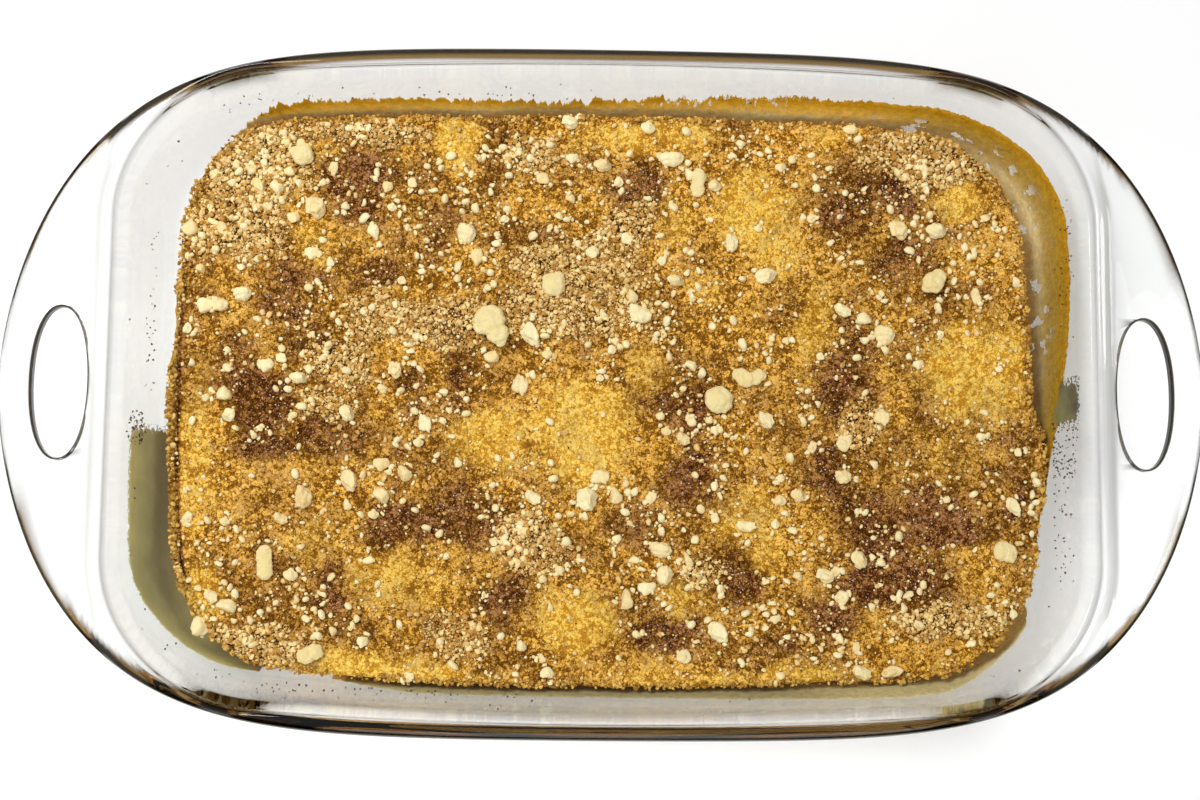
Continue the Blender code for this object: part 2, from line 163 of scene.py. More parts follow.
# Large crumbs on the cake, in millimetres: place, width along X and Y
LARGE_CRUMBS = (
    (-102, 65, 6.7, 8.5), (-122, 73, 4.8, 6), (-134, 57, 5, 6), (-126, 35, 5.5, 5),
    (-134, 31, 6.6, 5.1), (-48, 57, 6, 7.2), (-1, 82, 6.2, 5.6), (24, 85, 7.9, 5.4),
    (-13, 97, 5.4, 5), (45, 55, 4.8, 6.7), (57, 43, 7.6, 5), (25, 41, 6, 5),
    (104, 60, 5.8, 7.6), (117, 60, 7.2, 6.7), (84, 31, 7, 5.5), (99, 23, 6.4, 7),
    (-106, 5, 6.3, 5.1), (-89, -7, 5.1, 7.2), (-73, 8, 4.5, 6.4), (-62, -10, 4.8, 6),
    (-26, 22, 7, 8.6), (-29, 4, 6, 6.6), (13, 29, 9, 6.2), (28, -15, 5.7, 5.2),
    (57, -8, 5.8, 7.8), (97, -6, 6, 5.6), (84, -27, 6, 4.8), (-103, -36, 6.6, 7.9),
    (-88, -30, 6.6, 7.3), (-111, -44, 6, 4.8), (-134, -71, 6, 5.6), (-24, -36, 7, 5.5),
    (-5, -36, 7, 7.5), (-1, -28, 7.2, 4.8), (21, -53, 7, 5.5), (22, -62, 5.5, 6),
    (40, -81, 7.7, 7.3), (50, -45, 8, 5), (89, -56, 5.3, 8), (77, -62, 6, 5),
    (143, -37, 5.3, 6.5), (68, -34, 5, 6), (90, -95, 7.3, 6),
)
# Middling crumbs that the photo also shows
MIDDLE_CRUMBS = (
    (-109, 62, 4.8, 4.6), (-103, 49, 4.6, 4.4), (-81, 57, 4, 5.5), (15, 96, 5.2, 4.8),
    (30, 79, 4.6, 4), (-45, 48, 3.6, 6.3), (-22, 77, 5.4, 4.6), (-4, 51, 5.1, 4.6),
    (8, 56, 5.1, 4.8), (39, 75, 4.8, 4.4), (87, 96, 5.5, 4), (-140, 30, 4.8, 5.4),
    (-133, -1, 5.4, 5), (-130, -8, 4.7, 4.4), (-118, 9, 5, 4.6), (-77, -25, 5, 4.6),
    (-39, 13, 5.4, 5), (10, 35, 4.8, 4.6), (90, 28, 5.4, 4.5), (84, -15, 5.7, 4.8),
    (-107, -63, 5, 4.4), (-128, -74, 6.6, 4.5), (-137, -81, 6.4, 6.6), (-76, -36, 5.5, 5),
    (-68, -28, 5.4, 5), (5, -35, 5.3, 5), (15, -67, 5, 4.6), (9, -71, 5.5, 6),
    (-18, -96, 5, 4), (29, -90, 5, 4.8), (101, -94.3, 7.6, 3.7), (83, -69, 5, 4.6),
    (-145, 57, 5.6, 6.6), (-115, 72, 4.6, 5), (-119, 66, 4.4, 4), (-112, 78, 4, 3.6),
    (-96, 80, 3.6, 4.4), (-68, 75, 3.8, 4), (-77, 73, 3.2, 4), (-71, 40, 3.6, 3.2),
    (-64, 43, 3, 2.6), (-75, 66, 3.4, 3), (-92, 66, 3.2, 3), (-96, 46, 3.6, 3.2),
    (-9, 99, 3.4, 2.8), (-12, 84, 4, 3.4), (5, 76, 3.4, 3.6), (-12, 70, 3.2, 3.4),
    (-35, 62, 3.2, 2.8), (-38, 53, 3.4, 3), (20, 48, 3.4, 3), (31, 35, 3, 3.2),
    (73, 64, 3.4, 3), (62, 82, 3.6, 3.2), (54, 60, 3, 2.6), (124, 84, 3.2, 2.8),
    (135, 65, 3.6, 3), (131, 37, 3.8, 6.4), (110, 12, 3.6, 3.2), (118, 23, 3, 2.8),
    (139, 11, 3, 2.8), (76, 15, 3.2, 3), (64, 20, 3, 2.8), (31, 11, 4, 3.4),
    (21, 22, 3, 2.8), (0, 28, 3.4, 3.2), (3, 16, 3, 3.2), (-20, 14, 3.2, 3),
    (-1, 6, 2.8, 2.6), (20, -7, 3.2, 3.6), (31, -9, 3.4, 4), (39, -12, 3.2, 3.4),
    (22, -12, 3.6, 3.2), (73, -17, 3.2, 4), (62, -28, 3, 2.8), (39, -31, 2.6, 3.6),
    (39, -42, 3.4, 4), (62, -36, 4.4, 3.6), (132, -13, 3, 2.8), (120, -35, 2.8, 3),
    (-50, -24, 3.4, 3.2), (-64, -17, 3.6, 3.4), (-121, -15, 3, 2.8), (-138, -2, 3.2, 3),
    (-143, -44, 3.4, 4.6), (-130, -45, 3.6, 3.2), (-79, -42, 3.8, 3.4), (-88, -39, 3.8, 3.4),
    (-80, -58, 4.6, 3), (-82, -86, 3.4, 4), (-66, -97.5, 4.4, 3), (-28, -87, 3.4, 4),
    (-20, -91, 3, 2.8), (-37, -51, 3.2, 3.4), (-21, -64, 3, 3.2), (5, -50, 2.8, 3),
    (30, -57, 3.6, 5), (17, -35, 3.8, 3.6), (60, -44, 3, 3.4), (68, -62, 3, 3.2),
    (60, -77, 3.4, 3), (88, -86, 2.8, 3.6), (128, -84, 3.2, 2.8), (134, -74, 3, 2.8),
    (145, -18, 3, 3.4), (96, -57, 3.4, 3), (81, -60, 3.4, 3), (62, -96, 3.4, 2.8),
    (-145, 22, 3.2, 3.8), (-141, 43, 3, 3.4), (-127, 44, 3, 2.6), (-112, 12, 4.4, 3.6),
)

# Baked-on film: how high it climbs the wall, station round the dish in degrees, millimetres
FILM_STRETCHES = (
    ((341, 22), (345, 24.5), (349.3, 27.5), (355, 32), (360, 35), (366, 38), (370.7, 40),
     (381, 42), (388.7, 40.5), (400, 39), (409.4, 37.3), (416.7, 39.5), (429, 39.5),
     (442.7, 36), (450, 33.5), (457.3, 32.3), (464, 33.5), (471, 35.4), (483.4, 36.3),
     (486, 34), (488.8, 29.7), (491, 25), (492.5, 22)),
    ((240, 22), (243.5, 27), (248.6, 32), (262.6, 31.5), (277.4, 32), (291.3, 35),
     (302.7, 38), (307, 35), (311, 29), (315, 25.5), (319, 24), (322, 22.5), (324.5, 17), (326, 9)),
)
# Greasy patches on the inner wall, coloured with a painted reflection of dark surroundings, the same way
GREASE_REFLECTION_STRETCHES = (
    ((185.8, 40), (186.8, 40.5), (188.0, 41), (189.0, 41.5), (196, 42),
     (206, 40.5), (212, 37.5), (218, 32.5), (224, 28), (229, 24.5), (233, 20)),
    ((354.4, 44.5), (356, 46), (362, 46.5), (363.8, 46)),
)
GREASE_REFLECTION_TEETH = ((180, 1.2), (200, 0.8), (250, 0.8), (350, 0.5), (370, 0.5))
FILM_FOOT = 0.0085
# Height from which the film's colours climb, and how much more that is at the back
FILM_CLIMB_FROM = 0.0195
FILM_CLIMB_MORE = 0.0080
# How light the film is, station and share: partly its own tone, partly painted light and shade for how
# the light falls on each stretch of wall; the attribute named thin carries it
FILM_LIGHTNESS_AND_PAINTED_SHADE = ((230, 0.42), (290, 0.42), (304, 0.62), (326, 0.70), (341, 0.39), (378, 0.40),
                  (392, 0.49), (412, 0.54), (424, 0.53), (445, 0.52), (500, 0.50))
# How deep the teeth of its upper edge are, station and millimetres
FILM_TEETH = ((230, 0.8), (340, 0.8), (400, 0.7), (418, 1.2), (426, 3.2), (450, 3.8), (470, 2.6),
              (500, 3.4))
# How far the cake's edge stands out from its plain line, station and millimetres
EDGE_SHIFTS = (
    (0, -1.4), (6, -2.0), (28, -2.1), (40, -0.5), (58, -0.3), (74, -1.5), (104, -1.5), (119, 0),
    (128, 1.2), (134, 2.6), (141, 1.6), (148, -0.6), (160, -2.0), (170, -2.2), (176, -0.4),
    (182, -0.4), (192, -1.3), (212, -1.5), (224, -0.6), (240, -0.9), (297, -1.0), (306, 1.0),
    (318, 2.0), (326, 2.0), (337, 2.3), (349, 3.8), (353, 2.8), (357, 0.2), (360, -1.4),
)


def smoothstep(low, high, value):
    share = np.clip((value - low) / (high - low), 0.0, 1.0)
    return share * share * (3.0 - 2.0 * share)


def blend(a, b, share):
    return a + (b - a) * share


# Plan outlines and heights

def opening_outline(corner_steps=60, side_steps=84, end_steps=36):
    """Points round the opening and the outward direction at each."""
    straight_x = OPENING_HALF_LENGTH - OPENING_CORNER
    straight_y = OPENING_HALF_WIDTH - OPENING_CORNER
    corners = ((straight_x, straight_y), (-straight_x, straight_y),
               (-straight_x, -straight_y), (straight_x, -straight_y))
    steps_after = (side_steps, end_steps, side_steps, end_steps)
    points, middles = [], []
    for index, (corner, steps) in enumerate(zip(corners, steps_after)):
        start = index * math.pi / 2
        middles.append(len(points) + corner_steps // 2)
        for step in range(corner_steps + 1):
            angle = start + step / corner_steps * math.pi / 2
            points.append((corner[0] + OPENING_CORNER * math.cos(angle),
                           corner[1] + OPENING_CORNER * math.sin(angle)))
        following = corners[(index + 1) % 4]
        end = start + math.pi / 2
        ahead = (following[0] + OPENING_CORNER * math.cos(end),
                 following[1] + OPENING_CORNER * math.sin(end))
        last = points[-1]
        for step in range(1, steps):
            points.append((blend(last[0], ahead[0], step / steps),
                           blend(last[1], ahead[1], step / steps)))
    points = np.array(points)
    points[:, 1] *= 1.0 - OPENING_BOW * (points[:, 0] / OPENING_HALF_LENGTH) ** 2
    along = np.roll(points, -1, axis=0) - np.roll(points, 1, axis=0)
    outward = np.stack([along[:, 1], -along[:, 0]], axis=1)
    outward /= np.linalg.norm(outward, axis=1)[:, None]
    return points, outward, middles


OPENING, OUTWARD, CORNER_MIDDLES = opening_outline()


def station_of(points):
    """Direction of each point from the centre, in degrees, with the opening made round."""
    return np.degrees(np.arctan2(points[:, 1] / OPENING_HALF_WIDTH,
                                 points[:, 0] / OPENING_HALF_LENGTH)) % 360.0


# Stations of the outline's points, rising all the way round and back to the first
STATIONS = np.degrees(np.unwrap(np.radians(station_of(OPENING))))
STATIONS = np.append(STATIONS, STATIONS[0] + 360.0)


def outline_at(places):
    """Opening point and outward direction at fractional places along the outline."""
    count = len(OPENING)
    low = np.floor(places).astype(int) % count
    share = (places - np.floor(places))[:, None]
    high = (low + 1) % count
    points = blend(OPENING[low], OPENING[high], share)
    outward = blend(OUTWARD[low], OUTWARD[high], share)
    return points, outward / np.linalg.norm(outward, axis=1)[:, None]


def between_keys(stations, keys):
    """Values of the keys at the stations, eased so that no key shows as a corner."""
    at, values = np.array(keys, dtype=float).T
    index = np.clip(np.searchsorted(at, stations, side="right") - 1, 0, len(at) - 2)
    share = (stations - at[index]) / (at[index + 1] - at[index])
    return blend(values[index], values[index + 1], smoothstep(0.0, 1.0, share))


def cake_line(points, outward, ends, sides, shrink, uneven=0.0):
    """Plan of the cake at some height: further in at the ends, most in the corners."""
    corner = (points[:, 0] / OPENING_HALF_LENGTH) ** 4 * (points[:, 1] / OPENING_HALF_WIDTH) ** 2
    return points - outward * (np.array([[ends, sides]]) + (shrink * corner + uneven)[:, None])


def even_places(first, last, steps, ends, sides, shrink):
    """Places from one index of the outline to another, evenly apart along an inset copy."""
    index = np.linspace(first, last, 400)
    points, outward = outline_at(index)
    inset = cake_line(points, outward, ends, sides, shrink)
    run = np.concatenate([[0.0], np.cumsum(np.linalg.norm(np.diff(inset, axis=0), axis=1))])
    return np.interp(np.linspace(0.0, run[-1], steps + 1), run, index)


def wall_inset(height):
    """How far the straight inner wall stands inside the opening at a height."""
    return (DISH_HEIGHT - height) * math.tan(WALL_LEAN)


CURVE_MIDDLE_HEIGHT = BASE_THICKNESS + BASE_CURVE
CURVE_ENDS_HEIGHT = CURVE_MIDDLE_HEIGHT - BASE_CURVE * math.sin(WALL_LEAN)
CURVE_MIDDLE_INSET = wall_inset(CURVE_ENDS_HEIGHT) + BASE_CURVE * math.cos(WALL_LEAN)


def base_curve_profile(radius, steps):
    """Inset and height up the curve from base to wall, about the shared centre."""
    sweep = math.pi / 2 - WALL_LEAN
    return [(CURVE_MIDDLE_INSET - radius * math.sin(step / steps * sweep),
             CURVE_MIDDLE_HEIGHT - radius * math.cos(step / steps * sweep))
            for step in range(steps + 1)]


def inner_inset(height):
    """How far the inner face stands inside the opening, on the wall and on the base curve."""
    down = np.clip(CURVE_MIDDLE_HEIGHT - height, 0.0, BASE_CURVE)
    curved = CURVE_MIDDLE_INSET - np.sqrt(BASE_CURVE ** 2 - down ** 2)
    return np.where(height > CURVE_ENDS_HEIGHT, wall_inset(height), curved)


def value_noise(x, y, cell, seed):
    """Smooth noise from -1 to 1 over the plan, with cells of that size in metres."""
    size = 256
    lattice = np.random.default_rng(seed).uniform(-1.0, 1.0, (size, size))
    u, v = x / cell + 97.0, y / cell + 83.0
    i, j = np.floor(u).astype(int), np.floor(v).astype(int)
    a, b = u - i, v - j
    a, b = a * a * (3 - 2 * a), b * b * (3 - 2 * b)
    i0, i1, j0, j1 = i % size, (i + 1) % size, j % size, (j + 1) % size
    return blend(blend(lattice[i0, j0], lattice[i1, j0], a),
                 blend(lattice[i0, j1], lattice[i1, j1], a), b)


def patch_strength(x, y, patches, seed, spread=1.0):
    """How strongly any of the patches covers each place, with uneven outlines."""
    warp_x = 3.2 * value_noise(x, y, 0.011, seed) + 1.6 * value_noise(x, y, 0.0045, seed + 1)
    warp_y = 3.2 * value_noise(x, y, 0.011, seed + 2) + 1.6 * value_noise(x, y, 0.0045, seed + 3)
    place_x, place_y = x / MM + warp_x, y / MM + warp_y
    strength = np.zeros_like(x)
    for centre_x, centre_y, half_x, half_y, amount in patches:
        reach = np.hypot((place_x - centre_x) / half_x, (place_y - centre_y) / half_y) / spread
        strength = np.maximum(strength, amount * (1.0 - smoothstep(0.50, 1.35, reach)))
    return strength


def zones(x, y):
    """Brown sugar, bare cake and tan crumbs at each place, each from 0 to 1."""
    sugar = patch_strength(x, y, BROWN_SUGAR, 11, 1.22)
    bare = patch_strength(x, y, BARE_CAKE, 21, 1.05)
    heap = patch_strength(x, y, TAN_HEAPS, 31)
    clouds = 0.50 * value_noise(x, y, 0.016, 12) + 0.34 * value_noise(x, y, 0.0065, 13)
    strewn = 0.18 + clouds + 0.16 * value_noise(x, y, 0.003, 14)
    sugar = np.maximum(sugar + 0.25 * clouds, 0.7 * sugar + strewn)
    sugar = np.clip(sugar * (1.0 - 0.80 * bare), 0.0, 1.0)
    return sugar, bare * (1.0 - 0.6 * sugar), heap


def lip(x, y, inside):
    """The low lip of crust along the left end, and the groove beside it, coloured dark as painted shade.
    """
    along = smoothstep(-0.078, -0.060, y) * (1.0 - smoothstep(0.030, 0.046, y))
    along = along * (x < -0.12)
    ridge = along * (1.0 - smoothstep(0.0022, 0.0034, inside))
    groove = along * smoothstep(0.0026, 0.0034, inside) * (1.0 - smoothstep(0.0038, 0.0052, inside))
    return ridge, groove


def edge_lattice(step):
    """Distances inwards from the cake's edge on a lattice over the plan."""
    edge = cake_line(OPENING, OUTWARD, CAKE_INSET_ENDS, CAKE_INSET_SIDES, CAKE_CORNER_SHRINK)
    x, y = np.meshgrid(np.arange(-0.17, 0.17 + step, step), np.arange(-0.116, 0.116 + step, step),
                       indexing="ij")
    result = np.empty(x.shape)
    for index in range(len(x)):
        part = np.stack([x[index], y[index]], axis=1)
        away = part[:, None, :] - edge[None, :, :]
        nearest = np.argmin((away ** 2).sum(axis=2), axis=1)
        rows = np.arange(len(part))
        result[index] = -(away[rows, nearest] * OUTWARD[nearest]).sum(axis=1)
    return result


EDGE_STEP = 0.0008
EDGE_LATTICE = edge_lattice(EDGE_STEP)


def edge_distance(x, y):
    """Distance inwards from the edge of the cake's top, negative outside it."""
    u, v = (np.asarray(x) + 0.17) / EDGE_STEP, (np.asarray(y) + 0.116) / EDGE_STEP
    i = np.clip(u.astype(int), 0, EDGE_LATTICE.shape[0] - 2)
    j = np.clip(v.astype(int), 0, EDGE_LATTICE.shape[1] - 2)
    low = blend(EDGE_LATTICE[i, j], EDGE_LATTICE[i + 1, j], u - i)
    high = blend(EDGE_LATTICE[i, j + 1], EDGE_LATTICE[i + 1, j + 1], u - i)
    return blend(low, high, v - j)


def true_inside(x, y):
    """Distance inwards from the cake's edge, with its shifts in and out."""
    stations = station_of(np.column_stack([x, y]))
    return edge_distance(x, y) + MM * between_keys(stations, EDGE_SHIFTS)


def top_height(x, y, inside=None):
    """Height of the cake's top with its soft swells, heaps and crags."""
    if inside is None:
        inside = edge_distance(x, y)
    dome = CAKE_DOME * (1.0 - 0.5 * ((x / OPENING_HALF_LENGTH) ** 2
                                     + (y / OPENING_HALF_WIDTH) ** 2))
    waves = np.sin(61.0 * x + 1.3) * np.cos(74.0 * y - 0.6)
    waves += 0.6 * np.sin(118.0 * x - 47.0 * y + 2.1)
    sugar, bare, heap = zones(x, y)
    rough = 1.0 - 0.7 * bare
    relief = 0.45 * value_noise(x, y, 0.009, 41)
    relief += rough * (0.26 * value_noise(x, y, 0.0031, 42) + 0.20 * value_noise(x, y, 0.0017, 43))
    relief += heap * (0.75 + 0.45 * value_noise(x, y, 0.005, 44)
                      + 0.40 * value_noise(x, y, 0.0026, 45))
    relief -= sugar * 0.25
    fall = 1.0 - smoothstep(-0.0005, 0.0036, inside)
    relief -= 1.5 * fall * fall
    ridge, groove = lip(x, y, inside)
    relief += 0.9 * ridge - 0.9 * groove
    return CAKE_EDGE + dome + CAKE_WAVES * waves + relief * MM


# Mesh helpers

def all_off():
    if bpy.context.mode != "OBJECT":
        bpy.ops.object.mode_set(mode="OBJECT")
    bpy.ops.object.select_all(action="DESELECT")


def only(piece):
    all_off()
    piece.select_set(True)
    bpy.context.view_layer.objects.active = piece


def coordinates(piece):
    places = np.empty(len(piece.data.vertices) * 3)
    piece.data.vertices.foreach_get("co", places)
    return places.reshape(-1, 3)


def put(piece, places):
    piece.data.vertices.foreach_set("co", np.ascontiguousarray(places, dtype=float).ravel())
    piece.data.update()


def grid(name, columns, rows):
    """A grid primitive, with the column and row of each of its vertices."""
    all_off()
    bpy.ops.mesh.primitive_grid_add(x_subdivisions=columns, y_subdivisions=rows, size=1.0)
    piece = bpy.context.active_object
    piece.name = piece.data.name = name
    places = coordinates(piece)
    column = np.rint((places[:, 0] + 0.5) * columns).astype(int)
    row = np.rint((places[:, 1] + 0.5) * rows).astype(int)
    return piece, column, row


def wrap(name, rings):
    """A closed skin: a grid rolled round through rings of equally many points, then filled."""
    rings = np.asarray(rings)
    piece, column, row = grid(name, rings.shape[1], rings.shape[0] - 1)
    put(piece, rings[row, column % rings.shape[1]])
    close_skin(piece)
    return piece


def ring(points, outward, inset, height):
    """A ring round the dish at a height, set in by one amount or by a column of them."""
    return np.column_stack([points - outward * inset, np.full(len(points), height)])


def apply_modifiers(piece):
    only(piece)
    for modifier in list(piece.modifiers):
        bpy.ops.object.modifier_apply(modifier=modifier.name)


def mesh_piece(name, places, faces):
    """A piece made of lists of arrays of places and of faces, one for each part of it."""
    mesh = bpy.data.meshes.new(name)
    mesh.from_pydata(np.concatenate(places).tolist(), [], np.concatenate(faces).tolist())
    piece = bpy.data.objects.new(name, mesh)
    bpy.context.scene.collection.objects.link(piece)
    return piece


def add_values(piece, name, values):
    layer = piece.data.attributes.new(name, "FLOAT", "POINT")
    layer.data.foreach_set("value", np.ascontiguousarray(values, dtype=np.float32))


def finish_piece(piece, material, replaced=(), flat=False):
    """Material, shading and place in the frame for a finished piece."""
    piece.data.materials.clear()
    piece.data.materials.append(material)
    only(piece)
    if flat:
        bpy.ops.object.shade_flat()
    else:
        bpy.ops.object.shade_smooth()
    all_off()
    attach(piece, BODY)
    if replaced:
        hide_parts(*replaced)
    return piece


# Material helpers

def node(tree, kind, inputs=None, **settings):
    """A shader node with its settings, and its inputs given as values or linked sockets."""
    made = tree.nodes.new(kind)
    for key, value in settings.items():
        setattr(made, key, value)
    for key, value in (inputs or {}).items():
        socket = made.inputs[key]
        if isinstance(value, bpy.types.NodeSocket):
            tree.links.new(value, socket)
        else:
            socket.default_value = value
    return made


def new_material(name):
    material = bpy.data.materials.new(name)
    material.use_nodes = True
    tree = material.node_tree
    return material, tree, tree.nodes["Principled BSDF"]


def colour(values):
    return (*values[:3], 1.0)


def maths(tree, operation, a, b=0.0, c=0.0):
    return node(tree, "ShaderNodeMath", {0: a, 1: b, 2: c}, operation=operation).outputs[0]


def mix(tree, share, a, b, kind="MIX"):
    made = node(tree, "ShaderNodeMix", data_type="RGBA", blend_type=kind)
    for index, value in ((0, share), (6, a), (7, b)):
        if isinstance(value, bpy.types.NodeSocket):
            tree.links.new(value, made.inputs[index])
        else:
            made.inputs[index].default_value = value
    return made.outputs[2]


def between(tree, value, low, high):
    """0 below low, 1 above high and a straight line between."""
    made = node(tree, "ShaderNodeMapRange",
                {"Value": value, "From Min": low, "From Max": high})
    return made.outputs["Result"]


def noise(tree, where, scale, detail, roughness=0.5):
    return node(tree, "ShaderNodeTexNoise", {"Vector": where, "Scale": scale, "Detail": detail,
                                             "Roughness": roughness}).outputs["Fac"]


def attribute(tree, name):
    return node(tree, "ShaderNodeAttribute", attribute_name=name).outputs["Fac"]


def grain_group():
    """Packed grains of two sizes: a random value for each grain, its height and its seams."""
    name = "Grain"
    if name in bpy.data.node_groups:
        return bpy.data.node_groups[name]
    group = bpy.data.node_groups.new(name, "ShaderNodeTree")
    face = group.interface
    for label, default in (("Fine Grains per Metre", 1500.0), ("Coarse Grains per Metre", 760.0),
                           ("Coarse Share", 0.6)):
        face.new_socket(label, in_out="INPUT", socket_type="NodeSocketFloat").default_value = default
    for label in ("Value", "Height", "Seam"):
        face.new_socket(label, in_out="OUTPUT", socket_type="NodeSocketFloat")
    given = node(group, "NodeGroupInput").outputs
    where = node(group, "ShaderNodeTexCoord").outputs["Object"]
    stir = node(group, "ShaderNodeTexNoise", {"Vector": where, "Scale": 900.0, "Detail": 2.0})
    warped = node(group, "ShaderNodeVectorMath",
                  {0: stir.outputs["Color"], 1: (0.0011, 0.0011, 0.0011), 2: where},
                  operation="MULTIPLY_ADD").outputs[0]
    values, heights, seams = [], [], []
    for label in ("Fine Grains per Metre", "Coarse Grains per Metre"):
        cells = node(group, "ShaderNodeTexVoronoi", {"Vector": warped, "Scale": given[label]})
        edges = node(group, "ShaderNodeTexVoronoi", {"Vector": warped, "Scale": given[label]},
                     feature="DISTANCE_TO_EDGE")
        split = node(group, "ShaderNodeSeparateColor", {"Color": cells.outputs["Color"]})
        values.append(split.outputs[0])
        heights.append(maths(group, "SUBTRACT", 1.0, cells.outputs["Distance"]))
        seams.append(between(group, edges.outputs["Distance"], 0.16, 0.02))
    out = node(group, "NodeGroupOutput")
    for label, pair in (("Value", values), ("Height", heights), ("Seam", seams)):
        mixed = node(group, "ShaderNodeMix",
                     {0: given["Coarse Share"], 2: pair[0], 3: pair[1]}, data_type="FLOAT")
        group.links.new(mixed.outputs[0], out.inputs[label])
    return group


def ramp(tree, value, stops):
    made = node(tree, "ShaderNodeValToRGB", {"Fac": value})
    elements = made.color_ramp.elements
    while len(elements) < len(stops):
        elements.new(0.5)
    for element, (place, shade) in zip(elements, stops):
        element.position = place
        element.color = colour(shade)
    return made.outputs["Color"]


def bump(tree, height, strength, distance, before=None):
    inputs = {"Height": height, "Strength": strength, "Distance": distance}
    if before is not None:
        inputs["Normal"] = before
    return node(tree, "ShaderNodeBump", inputs).outputs["Normal"]


def glass_material(finish):
    material, tree, shader = new_material("oven_glass_clear")
    facing = node(tree, "ShaderNodeLayerWeight", {"Blend": 0.5}).outputs["Facing"]
    # Painted shade by viewing angle: clear where it is looked at squarely, painted grey on the walls, a
    # painted golden glint and painted dark edges where it turns away
    walls_painted_grey = [c * 0.77 for c in finish.glass_tint]
    plain = ramp(tree, facing, ((0.22, finish.glass_tint), (0.42, walls_painted_grey), (0.74, walls_painted_grey),
                                (0.84, finish.glass_painted_glint), (0.93, finish.glass_edge_painted_shade)))
    # The rounded bead is thick: a painted golden reflection where it faces the view, painted black as
    # soon as it turns away
    thick = ramp(tree, facing, ((0.0, finish.bead_painted_glint), (0.10, finish.bead_painted_glint),
                                (0.20, finish.bead_painted_shade)))
    tint_and_painted_shade = mix(tree, attribute(tree, "bead"), plain, thick)
    # The edges of the finger holes are painted black, a painted shade for their outlines
    tree.links.new(mix(tree, attribute(tree, "hole"), tint_and_painted_shade, colour(finish.bead_painted_shade)),
                   shader.inputs["Base Color"])
    shader.inputs["Roughness"].default_value = 0.0
    shader.inputs["IOR"].default_value = 1.474
    shader.inputs["Transmission Weight"].default_value = 1.0
    where = node(tree, "ShaderNodeTexCoord").outputs["Object"]
    ripple = noise(tree, where, 38.0, 1.5)
    tree.links.new(bump(tree, ripple, 0.10, 0.0008), shader.inputs["Normal"])
    clear = node(tree, "ShaderNodeBsdfTransparent", {"Color": (0.93, 0.94, 0.93, 1.0)})
    path = node(tree, "ShaderNodeLightPath")
    out = tree.nodes["Material Output"]
    both = node(tree, "ShaderNodeMixShader",
                {0: path.outputs["Is Shadow Ray"], 1: shader.outputs[0], 2: clear.outputs[0]})
    tree.links.new(both.outputs[0], out.inputs["Surface"])
    return material


